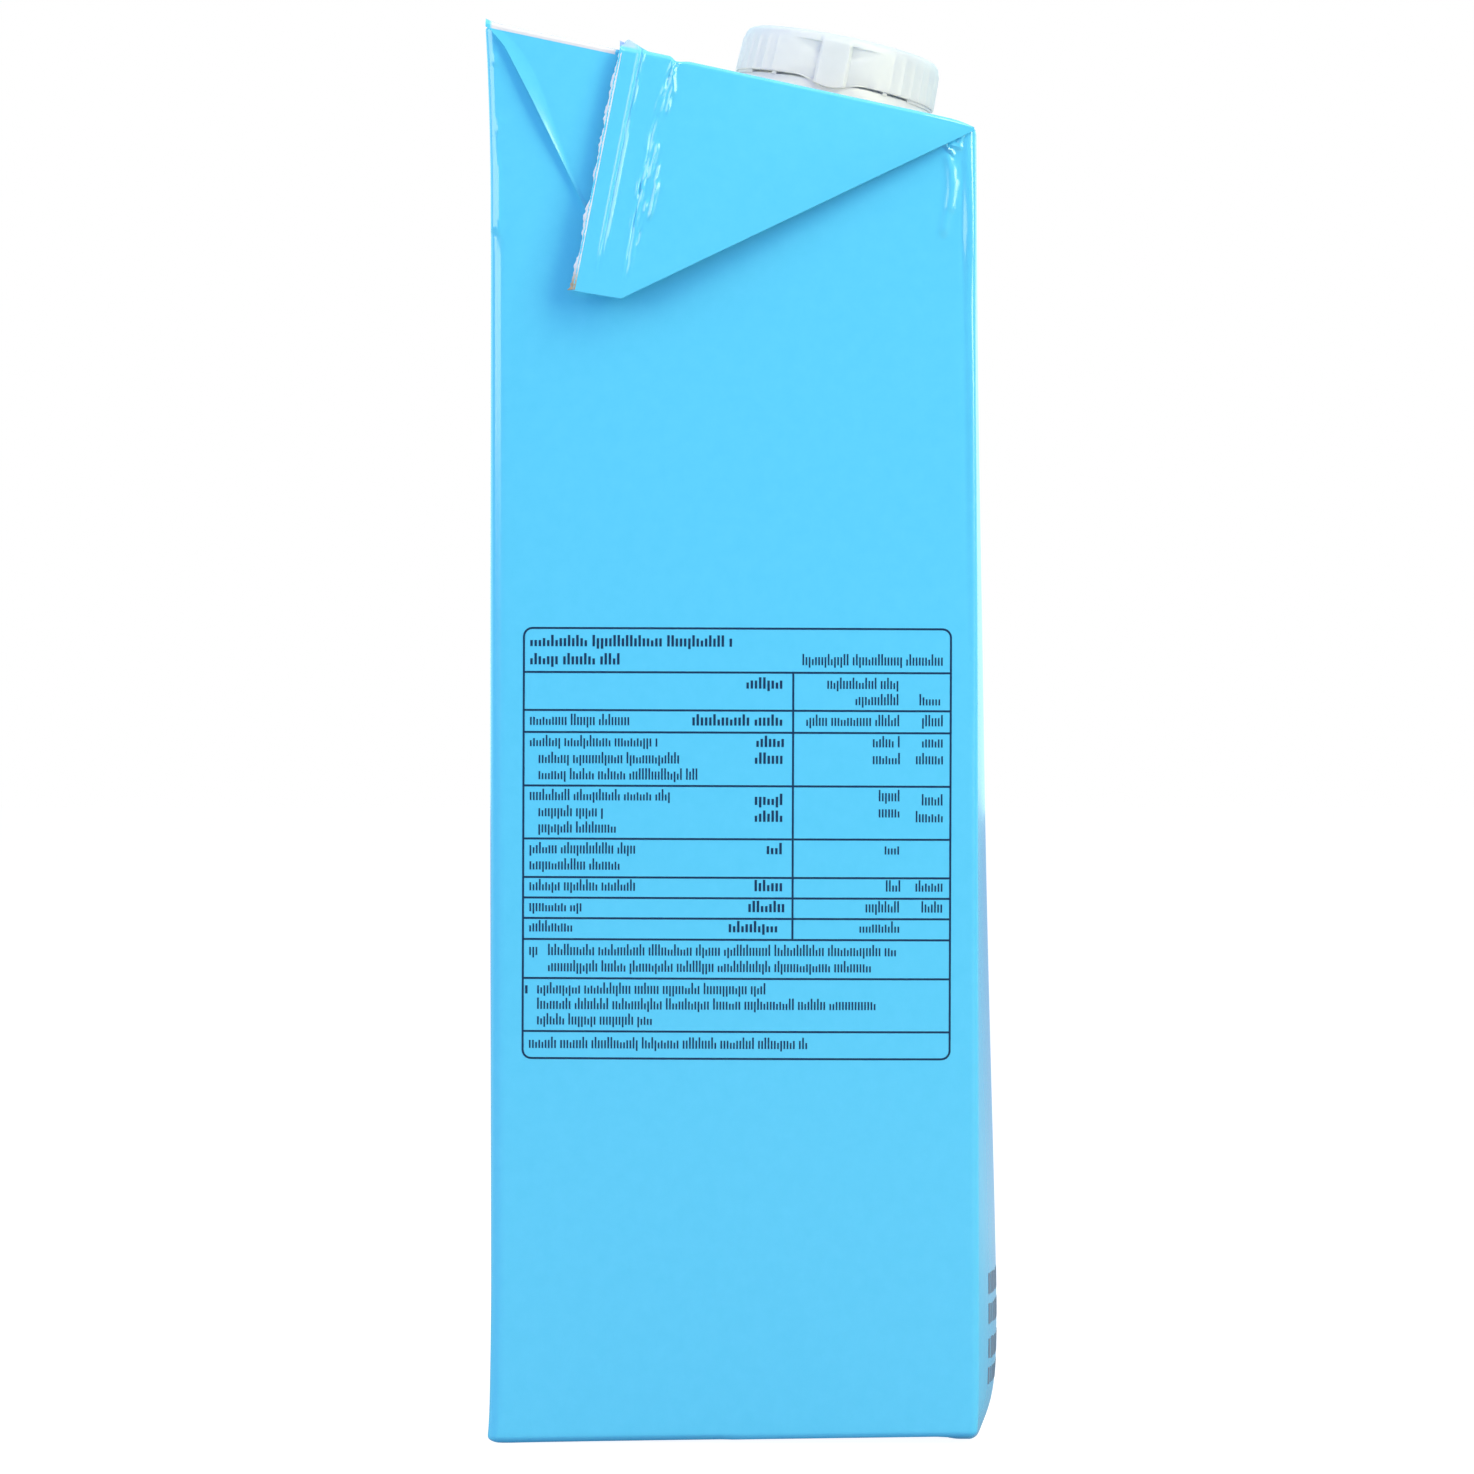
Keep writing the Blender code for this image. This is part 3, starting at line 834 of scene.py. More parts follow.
def close_sheet(bm, spots, side):
    """Gives an ear's sheet its thickness, closes it and rounds its folded lower edge. Its
    cut edge is the first column."""
    low_row = {vertex for vertex, spot in spots.items() if spot[1] == 0}
    cut_column = {vertex for vertex, spot in spots.items() if spot[0] == 0}
    give_thickness(bm, (0, -side * SHEET_THICK, 0), cut_column)
    rim = [e for e in bm.edges if e.verts[0] in low_row and e.verts[1] in low_row]
    bmesh.ops.bevel(
        bm, geom=rim, offset=EDGE_ROUND, offset_type="OFFSET", segments=3, profile=0.5,
        affect="EDGES", material=-1, clamp_overlap=True,
    )


BACK_CELLS = 60
BACK_EAR_END = -12.5 * MM       # the back half ends here, under the fin
LEAST_HEIGHT = 0.05 * MM        # what is left of it at the back corner
CURL_WIDTH = 0.5                # in millimetres, the curled strip along its free edge
CURL_WIDER = 1.6                # and how much wider it is farther down
CORNER_PULL = 0.5 * MM          # the back corner is pulled up to a small point
CORNER_PULL_REACH = 1.2 * MM


def make_back_ear(name, side):
    """Back half of an ear, from the back corner to under the fin, with its free edge curled outward."""
    bm = ear_sheet(BACK_CELLS, EAR_ROWS + ROLL_ROWS + TUCK_ROWS)
    spots = {}
    for vertex in bm.verts:
        column = BACK_CELLS - int(vertex.co.x)
        row = int(vertex.co.y)
        down = 1 - min(1.0, row / EAR_ROWS)
        share = (column / BACK_CELLS) ** 0.8
        x_top = mix(BACK_CORNER[0], BACK_EAR_END, share)
        x_low = mix(BACK_CORNER[0], EAR_TIP[0], share)
        x = mix(x_top, x_low, down)
        z_top = top_line(x) + BACK_EAR_RISE - EAR_ROLL
        z = mix(z_top, min(free_edge_height(x_low), z_top - LEAST_HEIGHT), down)
        out = 0.5 * EAR_THICK + BACK_EAR_CLOSE * ear_gap(x, z) + side_out(x, z)
        curl = CURL_WIDTH + CURL_WIDER * math.sin(math.pi * min(1.0, share * 1.5)) ** 2
        from_edge = edge_distance(x, z) / MM
        if from_edge < curl:
            out += EDGE_CURL * MM * curl * (1 - from_edge / curl) ** 1.3
        if row > EAR_ROWS:
            pulled = CORNER_PULL * math.exp(-(x - BACK_CORNER[0]) / CORNER_PULL_REACH)
            z, out = roll_over(top_line(x) + BACK_EAR_RISE, out, row - EAR_ROWS, pulled)
        vertex.co = (x, side * (WIDTH / 2 + out), z)
        spots[vertex] = (column + 1, row)
    close_sheet(bm, spots, side)
    return make_piece(name, bm, [board, raw_edge])


# The free edge of the ear's back half, from the back corner to the tip, in millimetres,
# and the cosine of its slope
EDGE_POINTS = ((-36.75, 210.9), (-33.9, 207.6), (-30.2, 200.4), (-21.8, 183.2), (-16.2, 171.0))
EDGE_COSINE = 0.43


def free_edge_height(x):
    """Height of the back half's free edge at x, between the points given."""
    x_mm = x / MM
    for (x0, z0), (x1, z1) in zip(EDGE_POINTS, EDGE_POINTS[1:]):
        if x_mm <= x1:
            return mix(z0, z1, max(0.0, (x_mm - x0) / (x1 - x0))) * MM
    return EDGE_POINTS[-1][1] * MM


def edge_distance(x, z):
    """Distance from a point on the back half to its free edge, square to that edge."""
    return max(0.0, z - free_edge_height(x)) * EDGE_COSINE


TOP_FIN_OVER = 0.7 * MM         # the fin reaches this far past both side panels
TOP_FIN_LIFT = (1.55, 0.25)     # in millimetres above the top, at its cut edge and crease
TOP_FIN_WAVE = 0.25
TOP_GROOVE = (0.2, -0.14)       # its seal line: half width and height
TOP_RIDGE = (0.2, 0.09)
TOP_RIDGE_APART = 0.42


def make_top_fin():
    """The fin across the top, lying towards the back with its cut edge sprung up a little."""
    columns = 28
    rows = 90
    bm = ear_sheet(columns, rows)
    cut_column = set()
    for vertex in bm.verts:
        column = int(vertex.co.x)
        across = column / columns
        y = mix(-1, 1, int(vertex.co.y) / rows) * (WIDTH / 2 + TOP_FIN_OVER)
        x = mix(FIN_CUT_X, FIN_CREASE_X, across)
        wave = noise.noise(Vector((1.7, y / (14 * MM), 0)))
        swell = TOP_SWELL * max(0.0, 1 - (2 * y / WIDTH) ** 2)
        lift = mix(*TOP_FIN_LIFT, across ** 0.8) + TOP_FIN_WAVE * wave * (1 - across)
        seal = (x - FIN_CUT_X - SEAL_FROM_CUT) / MM
        lift += hump(abs(seal) - TOP_RIDGE_APART, *TOP_RIDGE) + hump(seal, *TOP_GROOVE)
        lift += CREST_HEIGHTS[-1] * smooth((across - 0.9) / 0.1)
        if column == 0:
            x += CUT_RAGGED * noise.noise(Vector((5, y / CUT_LENGTH, 0)))
            cut_column.add(vertex)
        vertex.co = (x, y, top_height(x) + swell + lift * MM)
    give_thickness(bm, (0, 0, -EAR_THICK), cut_column)
    return make_piece("fin_across_top", bm, [board, raw_edge])


# The torn fibres along the cut edge, in millimetres where MM isn't named
TOOTH_PITCH = 0.95
TOOTH_DEPTH = 0.22
FIBRE_WIDTH = 0.78
FIBRE_OUT = 0.32
TORN = ((9, 0.8, 0.3), (4, 0.3, 0.18))      # noise row, length and depth
FIBRE_DEEP = 0.9 * MM                       # how far they reach back into the board
FIBRE_LEAN = 0.1 * MM


def make_cut_edge(name, side):
    """The ragged white edge of the fin on an ear: torn board fibres that show past the print."""
    bm = flat_sheet(5, 150)
    for vertex in bm.verts:
        across = vertex.co.x + 0.5
        down = 0.5 - vertex.co.y
        z = mix(top_height(FIN_CUT_X) - 0.4 * MM, FIN_FOOT[1] + 0.15 * MM, down)
        x = mix(FIN_CUT_X, FIN_FOOT[0], down)
        width = FIBRE_WIDTH + abs((z / MM / TOOTH_PITCH) % 1.0 - 0.5) * TOOTH_DEPTH
        for noise_row, length, depth in TORN:
            width += depth * noise.noise(Vector((2, noise_row, z / (length * MM))))
        width += 0.3 * smooth((down - 0.9) / 0.1)
        width *= 0.5 + 0.5 * smooth(0.5 + 1.6 * noise.noise(Vector((8, 1, z / (4 * MM)))))
        x += (FIBRE_OUT - across * width) * MM
        out = EAR_THICK + FIN_THICK + ear_gap(x, z) + side_out(x, z)
        out += (0.2 - 0.5 * across ** 2) * MM
        out += 0.08 * MM * noise.noise(Vector((across * 4, 0, z / (0.25 * MM))))
        vertex.co = (x, side * (WIDTH / 2 + out), z)
    give_thickness(bm, (FIBRE_LEAN, -side * FIBRE_DEEP, 0))
    return make_piece(name, bm, [raw_edge], 60)


# Printed table


# Heights of the table's rows from its top edge down, in millimetres
ROW_HEIGHTS = (6.68, 5.64, 3.27, 7.94, 7.87, 5.72, 3.04, 3.04, 3.12, 5.79, 7.87, 4.16)
FIRST_SPLIT_ROW = 1
LAST_SPLIT_ROW = 8
TABLE_LEFT = -31.3 * MM
TABLE_WIDTH = 63.7 * MM
TABLE_TOP = 121.3 * MM
TABLE_HEIGHT = sum(ROW_HEIGHTS) * MM
TABLE_TURN = math.radians(-0.2)
COLUMN_AT = 40.15 * MM
RULE = 0.3 * MM
CORNER = 1.4 * MM
INK_LIFT = 0.02 * MM
SHEET_CELLS = 20                # the outline is cut into this many cells each way

# Ticks: stroke and pitch of heavy and light ones, and how many stand together
MARK_HEIGHT = 1.2 * MM
HEAVY_TICK = (0.36 * MM, 0.62 * MM)
LIGHT_TICK = (0.24 * MM, 0.47 * MM)
TICKS_TOGETHER = (7, 18)
TICK_GAP = 0.9                  # between groups, in pitches

# Lines of small marks in the table: how far below the top edge their middle is, then
# stretches from the left edge, in millimetres, heavy ones marked with True
LINES = (
    (2.25, (1.1, 31.1, True)),
    (4.95, (1.1, 14.5, True), (41.5, 62.6, False)),
    (8.45, (33.2, 39.0, True), (45.2, 56.2, False)),
    (10.85, (49.4, 56.2, False), (58.9, 62.4, False)),
    (13.95, (1.1, 16.0, False), (25.2, 39.0, True), (42.1, 56.2, False), (59.3, 62.4, False)),
    (17.1, (1.1, 20.4, False), (34.7, 39.0, True), (52.0, 56.2, False), (59.3, 62.4, False)),
    (19.6, (2.4, 23.4, False), (34.5, 39.0, True), (52.0, 56.2, False), (58.4, 62.4, False)),
    (22.0, (2.4, 26.2, False)),
    (25.1, (1.1, 22.3, False), (52.9, 56.2, False)),
    (25.7, (34.5, 39.0, True), (59.3, 62.4, False)),
    (27.5, (2.4, 12.4, False), (52.9, 56.2, False)),
    (28.2, (34.5, 39.0, True), (58.4, 62.4, False)),
    (29.9, (2.4, 13.9, False)),
    (33.0, (1.1, 17.2, False), (36.3, 39.0, True), (53.8, 56.2, False)),
    (35.4, (1.1, 14.6, False)),
    (38.5, (1.1, 17.2, False), (34.5, 39.0, True), (54.0, 56.2, False), (58.4, 62.4, False)),
    (41.6, (1.1, 9.1, False), (33.6, 39.0, True), (51.0, 56.2, False), (59.3, 62.4, False)),
    (44.6, (1.1, 7.8, False), (30.7, 39.0, True), (50.1, 56.2, False)),
    (48.1, (1.1, 2.4, False), (3.9, 55.8, False)),
    (50.5, (3.9, 52.2, False)),
    (53.8, (0.5, 1.4, True), (2.3, 36.6, False)),
    (56.1, (2.3, 53.2, False)),
    (58.4, (2.3, 19.7, False)),
    (61.9, (1.1, 42.7, False)),
)


def add_bar(bm, left, low, right, high, cell=3.0 * MM):
    """A flat bar of ink in the table's own plane, x to the right and y down, cut into short
    cells so that it can follow the panel."""
    cells = [1 + int((right - left) / cell), 1 + int((high - low) / cell)]
    made = bmesh.ops.create_grid(bm, x_segments=cells[0], y_segments=cells[1], size=0.5)["verts"]
    for vertex in made:
        vertex.co.x = mix(left, right, vertex.co.x + 0.5)
        vertex.co.y = mix(low, high, vertex.co.y + 0.5)


def thicken_ink(bm):
    """Gives flat bars of ink a back at -1 and a front at 1, in shares of the ink's lift."""
    give_thickness(bm, (0, 0, 2))
    bmesh.ops.translate(bm, verts=bm.verts[:], vec=(0, 0, -1))


def lay_on_panel(bm):
    """Turns ink from the table's plane onto the swelled side panel."""
    middle = Vector((TABLE_WIDTH / 2, TABLE_HEIGHT / 2))
    turn = Matrix.Rotation(-TABLE_TURN, 2)
    for vertex in bm.verts:
        flat = middle + turn @ (vertex.co.xy - middle)
        x = TABLE_LEFT + flat.x
        z = TABLE_TOP - flat.y
        vertex.co = (x, -(WIDTH / 2 + side_out(x, z) + vertex.co.z * INK_LIFT), z)
    bmesh.ops.recalc_face_normals(bm, faces=bm.faces[:])


def make_table_rules():
    """The table's outline with round corners, its rules and its one column line."""
    bm = bmesh.new()
    corners = ((0, 0), (TABLE_WIDTH, 0), (TABLE_WIDTH, TABLE_HEIGHT), (0, TABLE_HEIGHT))
    sheet = bm.faces.new([bm.verts.new((x, y, 0.0)) for x, y in corners])
    bmesh.ops.bevel(
        bm, geom=sheet.verts[:], offset=CORNER, offset_type="OFFSET", segments=5, profile=0.5,
        affect="VERTICES", material=-1,
    )
    for axis, size in ((Vector((1, 0, 0)), TABLE_WIDTH), (Vector((0, 1, 0)), TABLE_HEIGHT)):
        for step in range(1, SHEET_CELLS):
            bmesh.ops.bisect_plane(
                bm, geom=bm.verts[:] + bm.edges[:] + bm.faces[:],
                plane_co=axis * size * step / SHEET_CELLS, plane_no=axis,
            )
    rim = bmesh.ops.inset_region(
        bm, faces=bm.faces[:], thickness=RULE, use_even_offset=True, use_boundary=True,
    )["faces"]
    bmesh.ops.delete(bm, geom=[f for f in bm.faces if f not in rim], context="FACES")
    drop = 0.0
    drops = []
    for height in ROW_HEIGHTS[:-1]:
        drop += height * MM
        drops.append(drop)
        add_bar(bm, RULE / 2, drop - RULE / 2, TABLE_WIDTH - RULE / 2, drop + RULE / 2)
    top = drops[FIRST_SPLIT_ROW - 1]
    foot = drops[LAST_SPLIT_ROW]
    add_bar(bm, COLUMN_AT - RULE / 2, top, COLUMN_AT + RULE / 2, foot)
    thicken_ink(bm)
    lay_on_panel(bm)
    make_piece("table_rules", bm, [table_ink], 60)


def add_marks(bm, rng, left, right, middle, heavy):
    """A stretch of small upright ticks in groups, as dense as a printed line."""
    stroke, pitch = HEAVY_TICK if heavy else LIGHT_TICK
    x = left
    until_gap = rng.randint(*TICKS_TOGETHER)
    while x + stroke <= right:
        kind = rng.random()
        low = middle + MARK_HEIGHT / 2
        high = middle - MARK_HEIGHT / 2
        if kind < 0.2:
            high -= 0.4 * MARK_HEIGHT
        elif kind > 0.93:
            low += 0.3 * MARK_HEIGHT
        elif kind > 0.7:
            high += 0.25 * MARK_HEIGHT
        add_bar(bm, x, high, x + stroke, low)
        x += pitch
        until_gap -= 1
        if until_gap == 0:
            x += TICK_GAP * pitch
            until_gap = rng.randint(*TICKS_TOGETHER)


def make_table_marks():
    """All ticks in the table, their heights and groups drawn at random."""
    rng = random.Random(11)
    bm = bmesh.new()
    for middle, *stretches in LINES:
        for left, right, heavy in stretches:
            add_marks(bm, rng, left * MM, right * MM, middle * MM, heavy)
    thicken_ink(bm)
    lay_on_panel(bm)
    make_piece("table_marks", bm, [table_ink], 60)


# The marks low on the front panel, in millimetres: middle and height of each line
FRONT_LINES = ((23.2, 3.3), (18.7, 3.3), (13.5, 3.3), (9.4, 2.8))
FRONT_MARKS = 7
FRONT_MARKS_LEFT = -28.0
FRONT_MARKS_PITCH = 2.4
FRONT_CELL = 0.6 * MM


def make_front_marks():
    """Four short lines of marks low on the front panel, beside its fold."""
    rng = random.Random(5)
    bm = bmesh.new()
    for middle, size in FRONT_LINES:
        for step in range(FRONT_MARKS):
            left = FRONT_MARKS_LEFT + step * FRONT_MARKS_PITCH
            half = size * rng.uniform(0.85, 1.0) / 2
            right = left + rng.uniform(1.3, 1.9)
            add_bar(
                bm, left * MM, (middle - half) * MM, right * MM, (middle + half) * MM,
                FRONT_CELL,
            )
    thicken_ink(bm)
    for vertex in bm.verts:
        y, z, lift = vertex.co
        filled = 1 - abs(2 * y / WIDTH) ** 3
        vertex.co = (DEPTH / 2 + front_swell(z) * filled + lift * 2 * INK_LIFT, y, z)
    bmesh.ops.recalc_face_normals(bm, faces=bm.faces[:])
    make_piece("front_marks", bm, [mark_ink], 60)


# Cap and ring


TURN_STEPS = 360
SUNK = 0.3 * MM                 # the middle of the cap's top lies this much lower
SUNK_FROM = 12.6 * MM
FOOT_BEVEL = 0.3 * MM
SCOOP_TOP = 1.5 * MM            # from the cap's top down to the step over its scoops
SKIRT_TOP = CAP_HEIGHT - SCOOP_TOP
SKIRT_HEIGHTS = (0.15, 0.5, 1.0, 1.6, 2.3, 2.8, 3.2, 3.6, 3.9, 4.2, 4.5, 4.8, 5.15)

# Two tabs, and a scoop, a hollow and a lobe at the foot around each
TAB_HALF = math.radians(8.6)
TAB_TURN = math.radians(-3.5)
TAB_SOFT = math.radians(1.6)
TAB_PROUD = 0.45 * MM
SCOOP_END = math.radians(32)
SCOOP_DEPTH = 0.38 * MM
SCOOP_LOW = 0.6 * MM            # height of a scoop at its end, and how much more at its tab
SCOOP_HIGHER = 1.9 * MM
HOLLOW_END = math.radians(30)
HOLLOW_SOFT = math.radians(12)
HOLLOW_DEPTH = 0.3 * MM
HOLLOW_HEIGHT = 1.6 * MM
LOBE_HALF = math.radians(21)
LOBE_DROP = 1.25 * MM
LOBE_HEIGHT = 0.8 * MM
LOBE_PROUD = 0.12 * MM          # how far a lobe's foot stands outside the ring

# Ribs between the scoops
RIB_PITCH = math.radians(8)
RIB_HALF = math.radians(1.1)
RIB_HIGH = 0.17 * MM
RIB_FADE = 0.1

# The ring, with bridges from and to these angles, in degrees
RING_RADIUS = 15.15 * MM
SLOT = 0.35 * MM
RING_HEIGHT = 2.3 * MM
BRIDGES = ((-40.4, -37.2), (28.8, 31.8), (47.6, 122.2))


def turned(profile, steps):
    """A closed turned solid from (radius, height) points that start and end on the axis."""
    bm = bmesh.new()
    points = [bm.verts.new((0.0, -radius, height)) for radius, height in profile]
    line = [bm.edges.new(pair) for pair in zip(points, points[1:])]
    bmesh.ops.spin(
        bm, geom=points + line, cent=(0, 0, 0), axis=(0, 0, 1), dvec=(0, 0, 0),
        angle=2 * math.pi, steps=steps, use_merge=True, use_duplicate=False,
    )
    bmesh.ops.remove_doubles(bm, verts=bm.verts[:], dist=0.005 * MM)
    return bm


def seat_on_top(bm):
    """Tilts a turned piece forward onto the sloped top."""
    place = Matrix.Translation((CAP_X, 0, CAP_Z)) @ Matrix.Rotation(CAP_TILT, 4, "Y")
    bmesh.ops.transform(bm, matrix=place, verts=bm.verts[:])
    bmesh.ops.recalc_face_normals(bm, faces=bm.faces[:])


def tab_angle(x, y):
    """Angle from the nearest of the two tabs, in front and behind."""
    around = abs(math.atan2(x, -y) - TAB_TURN)
    return min(around, abs(math.pi - around))


def cap_profile():
    """Radius and height along the cap's outline: its foot, the tapered skirt up to the step
    over the scoops, the rounded edge and the sunk middle of its top."""
    top_radius = CAP_RADIUS - CAP_TAPER
    profile = [
        (0.0, 0.0), (12.0 * MM, 0.0), (CAP_RADIUS - FOOT_BEVEL, 0.0),
        (CAP_RADIUS - 0.2 * FOOT_BEVEL, 0.1 * FOOT_BEVEL),
    ]
    for height in SKIRT_HEIGHTS:
        profile.append((CAP_RADIUS - CAP_TAPER * height * MM / CAP_HEIGHT, height * MM))
    profile.append((top_radius + 0.05 * MM, SKIRT_TOP - 0.18 * MM))
    profile.append((top_radius + 0.04 * MM, SKIRT_TOP + 0.05 * MM))
    for step in range(7):
        turn = math.pi / 2 * step / 6
        radius = top_radius - CAP_ROUND * (1 - math.cos(turn))
        profile.append((radius, CAP_HEIGHT - CAP_ROUND * (1 - math.sin(turn))))
    sunk = CAP_HEIGHT - SUNK
    return profile + [(SUNK_FROM, CAP_HEIGHT), (SUNK_FROM - 0.5 * MM, sunk), (0.0, sunk)]


def cap_relief(x, y, z):
    """How far the cap's wall stands out at a point: tabs and ribs, less scoops and hollows."""
    apart = tab_angle(x, y)
    on_tab = smooth((TAB_HALF - apart) / TAB_SOFT + 0.5)
    tab = TAB_PROUD * on_tab * smooth((CAP_HEIGHT - 0.2 * CAP_ROUND - z) / (0.8 * CAP_ROUND))
    near = smooth((SCOOP_END - apart) / (SCOOP_END - TAB_HALF))
    scoop = SCOOP_DEPTH * near * smooth((SKIRT_TOP - 0.05 * MM - z) / (0.12 * MM))
    scoop *= smooth((z - SKIRT_TOP + SCOOP_LOW + SCOOP_HIGHER * near) / (0.9 * MM))
    hollow = HOLLOW_DEPTH * smooth((HOLLOW_END - apart) / HOLLOW_SOFT)
    hollow *= smooth(1 - z / HOLLOW_HEIGHT)
    from_rib = abs((math.atan2(x, -y) / RIB_PITCH + 0.5) % 1.0 - 0.5) * RIB_PITCH
    rib = hump(from_rib, RIB_HALF, RIB_HIGH) * smooth((apart - SCOOP_END) / RIB_FADE)
    rib *= smooth((CAP_HEIGHT - 0.9 * CAP_ROUND - z) / (0.8 * MM))
    return tab + rib - (scoop + hollow) * (1 - on_tab)


def make_cap():
    """The screw cap: a turned shape, whose wall then gets its tabs, scoops, ribs and lobes."""
    bm = turned(cap_profile(), TURN_STEPS)
    for vertex in bm.verts:
        x, y, z = vertex.co
        radius = math.hypot(x, y)
        if radius < CAP_RADIUS - CAP_ROUND:
            continue
        grown = radius + (cap_relief(x, y, z) if z > 0.01 * MM else 0.0)
        if radius > CAP_RADIUS - 0.4 * MM and z < LOBE_HEIGHT:
            around = min(1.0, tab_angle(x, y) / LOBE_HALF)
            lobe = math.cos(math.pi / 2 * around) ** 2
            vertex.co.z -= LOBE_DROP * lobe * (1 - z / LOBE_HEIGHT)
            if lobe > 0.01 and z < 0.1 * MM:
                grown = max(grown, RING_RADIUS + LOBE_PROUD)
        vertex.co.x *= grown / radius
        vertex.co.y *= grown / radius
    seat_on_top(bm)
    made = make_piece("screw_cap", bm, [plastic], 35)
    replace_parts(made, "cap")


def make_ring():
    """Tamper ring below the cap: thin bridges hold it, and between them the slots are open."""
    top = -SLOT
    foot = top - RING_HEIGHT
    neck = -0.05 * MM
    profile = (
        (0.0, foot), (RING_RADIUS, foot), (RING_RADIUS, top - 1.5 * MM),
        (RING_RADIUS - 0.05 * MM, top - 0.15 * MM), (RING_RADIUS - 0.15 * MM, top),
        (RING_RADIUS - 0.75 * MM, top), (RING_RADIUS - 0.85 * MM, neck), (0.0, neck),
    )
    bm = turned(profile, TURN_STEPS)
    seat_on_top(bm)
    made = make_piece("tamper_ring", bm, [plastic], 35)
    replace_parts(made, "ring")


def make_bridges():
    """The little bridges between cap and ring, in the same places on both halves."""
    bm = bmesh.new()
    inner = RING_RADIUS - 0.9 * MM
    outer = RING_RADIUS + 0.1 * MM
    low = -SLOT - 0.1 * MM
    high = 0.1 * MM
    section = ((inner, low), (outer, low), (outer, high), (inner, high))
    for half_turn in (0.0, 180.0):
        for start, end in BRIDGES:
            turn = Matrix.Rotation(math.radians(start + half_turn), 3, "Z")
            points = [bm.verts.new(turn @ Vector((0.0, -radius, z))) for radius, z in section]
            face = bm.faces.new(points)
            bmesh.ops.spin(
                bm, geom=[face], cent=(0, 0, 0), axis=(0, 0, 1), dvec=(0, 0, 0),
                angle=math.radians(end - start), steps=max(2, int((end - start) / 2)),
                use_merge=False, use_duplicate=False,
            )
    seat_on_top(bm)
    make_piece("ring_bridges", bm, [plastic], 35)


# Stage, lights and camera


ROOM_COLOUR = (0.04, 0.09, 0.74, 1.0)
BACKDROP_COLOUR = (0.65, 1.05, 1.2, 1.0)
FLOOR_GLOW = (0.95, 0.95, 0.95, 1.0)    # what the camera sees, besides the lit paper
# The floor's glow as a light on the carton, unseen by the camera: bluish near it, paler behind it
NEAR_GLOW = (0.06, 0.19, 0.32, 1.0)
BEHIND_GLOW = (0.25, 0.38, 0.5, 1.0)
GLOW_TURNS = (0.06, 0.4)                # metres behind the carton's middle
ROOM_TURNS = (0.1, 0.6)                 # and how far a ray points away from the camera
CLIP = (0.05, 50.0)                     # nearest and farthest that the camera sees

# Lights: name, place, width, height, watts and colour, all pointed at the carton's middle
LIGHT_TARGET = Vector((0, 0, 0.12))
LIGHTS = (
    ("key_right", (0.73, -0.56, 0.7), 0.5, 1.2, 12.2, (1.0, 0.96, 0.55)),
    ("softbox_left", (-0.84, -0.45, 0.5), 1.1, 0.66, 6.8, (1.0, 1.0, 0.65)),
    ("ceiling", (0.0, -0.2, 1.0), 1.0, 0.9, 2.4, (0.97, 1.0, 0.5)),
)


def make_stage():
    """A white table, which the camera sees lit nearly evenly, as on a photographer's sweep.
    Unseen by the camera, it glows as a light on the carton: bluish near it, paler behind.
    """
    bm = bmesh.new()
    bmesh.ops.create_grid(bm, x_segments=1, y_segments=1, size=8.0)
    mesh = bpy.data.meshes.new("floor")
    bm.to_mesh(mesh)
    bm.free()
    floor = put_in_scene("floor", mesh)
    material, tree, surface = start_material("white_paper_sweep")
    place = add(tree, "TexCoord").outputs["Object"]
    split = add(tree, "SeparateXYZ", {"Vector": place})
    behind = add(tree, "MapRange", {
        "Value": split.outputs["Y"], "From Min": GLOW_TURNS[0], "From Max": GLOW_TURNS[1],
    }, interpolation_type="SMOOTHSTEP")
    # The floor glows onto the carton, bluish near it and paler behind it
    glow = add(tree, "MixRGB", {
        "Fac": behind.outputs[0], "Color1": NEAR_GLOW, "Color2": BEHIND_GLOW,
    })
    path = add(tree, "LightPath")
    seen = add(tree, "MixRGB", {
        "Fac": path.outputs["Is Camera Ray"], "Color1": glow.outputs[0], "Color2": FLOOR_GLOW,
    })
    fill(tree, surface, {
        "Base Color": srgb("#868686"), "Roughness": 0.9, "Specular IOR Level": 0.0,
        "Emission Color": seen.outputs[0], "Emission Strength": 1.0,
    })
    mesh.materials.append(material)


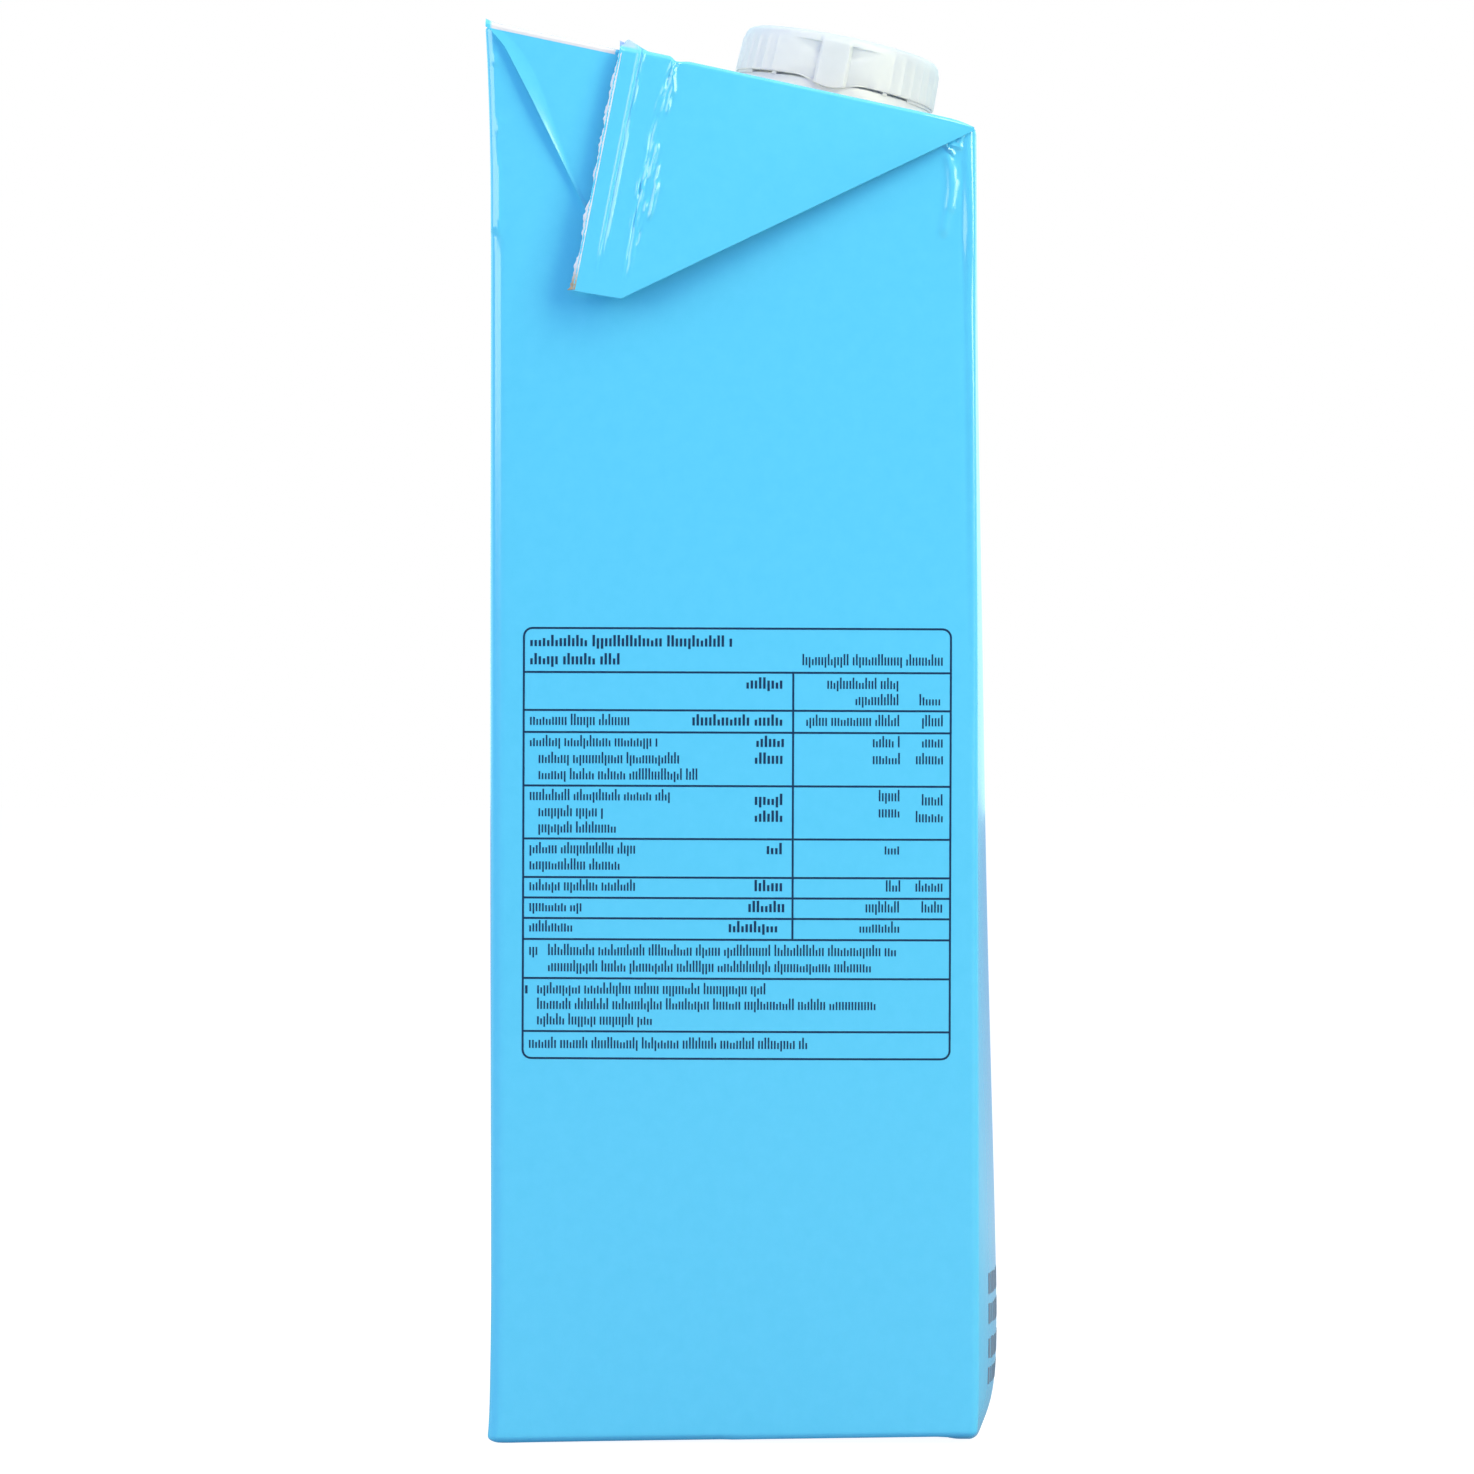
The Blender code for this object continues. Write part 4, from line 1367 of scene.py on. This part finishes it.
def make_world():
    """A studio with a white backdrop behind the carton and a dimmer, bluish room in front."""
    world = bpy.data.worlds.new("studio_room")
    bpy.context.scene.world = world
    world.use_nodes = True
    tree = world.node_tree
    room = tree.nodes["Background"]
    way = add(tree, "SeparateXYZ", {"Vector": add(tree, "TexCoord").outputs["Generated"]})
    behind = add(tree, "MapRange", {
        "Value": way.outputs["Y"], "From Min": ROOM_TURNS[0], "From Max": ROOM_TURNS[1],
    }, interpolation_type="SMOOTHSTEP")
    tint = add(tree, "MixRGB", {
        "Fac": behind.outputs[0], "Color1": ROOM_COLOUR, "Color2": BACKDROP_COLOUR,
    })
    fill(tree, room, {"Color": tint.outputs[0]})
    seen = add(tree, "Background", {"Color": (1.0, 1.0, 1.0, 1.0), "Strength": 1.0})
    path = add(tree, "LightPath")
    shown = add(tree, "MixShader", {
        0: path.outputs["Is Camera Ray"], 1: room.outputs[0], 2: seen.outputs[0],
    })
    fill(tree, tree.nodes["World Output"], {"Surface": shown.outputs[0]})


def add_light(name, place, width, height, watts, colour):
    data = bpy.data.lights.new(name, "AREA")
    data.shape = "RECTANGLE"
    data.size = width
    data.size_y = height
    data.energy = watts
    data.color = colour
    light = put_in_scene(name, data)
    light.location = place
    light.rotation_euler = (LIGHT_TARGET - Vector(place)).to_track_quat("-Z", "Y").to_euler()


def make_camera():
    data = bpy.data.cameras.new("camera")
    data.sensor_width = SENSOR
    data.lens = SENSOR * CAMERA_AWAY / VIEW_WIDTH
    data.clip_start, data.clip_end = CLIP
    camera = put_in_scene("camera", data)
    camera.location = (CAMERA_X, -WIDTH / 2 - CAMERA_AWAY, CAMERA_Z)
    camera.rotation_euler = (math.pi / 2, 0, 0)
    bpy.context.scene.camera = camera


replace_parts(make_body(), "carton")
for tag, side in (("near", -1), ("far", 1)):
    for piece in (
        make_front_ear("ear_front_" + tag, side),
        make_back_ear("ear_back_" + tag, side),
        make_cut_edge("fin_cut_edge_" + tag, side),
        make_base_ear("base_ear_" + tag, side),
        make_base_fin("base_fin_" + tag, side),
    ):
        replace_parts(piece, "carton")
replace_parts(make_top_fin(), "carton")
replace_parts(make_back_seam(), "carton")
make_table_rules()
make_table_marks()
make_front_marks()
make_cap()
make_ring()
make_bridges()
make_stage()
make_world()
for light in LIGHTS:
    add_light(*light)
make_camera()
bpy.context.scene.view_settings.view_transform = "Standard"
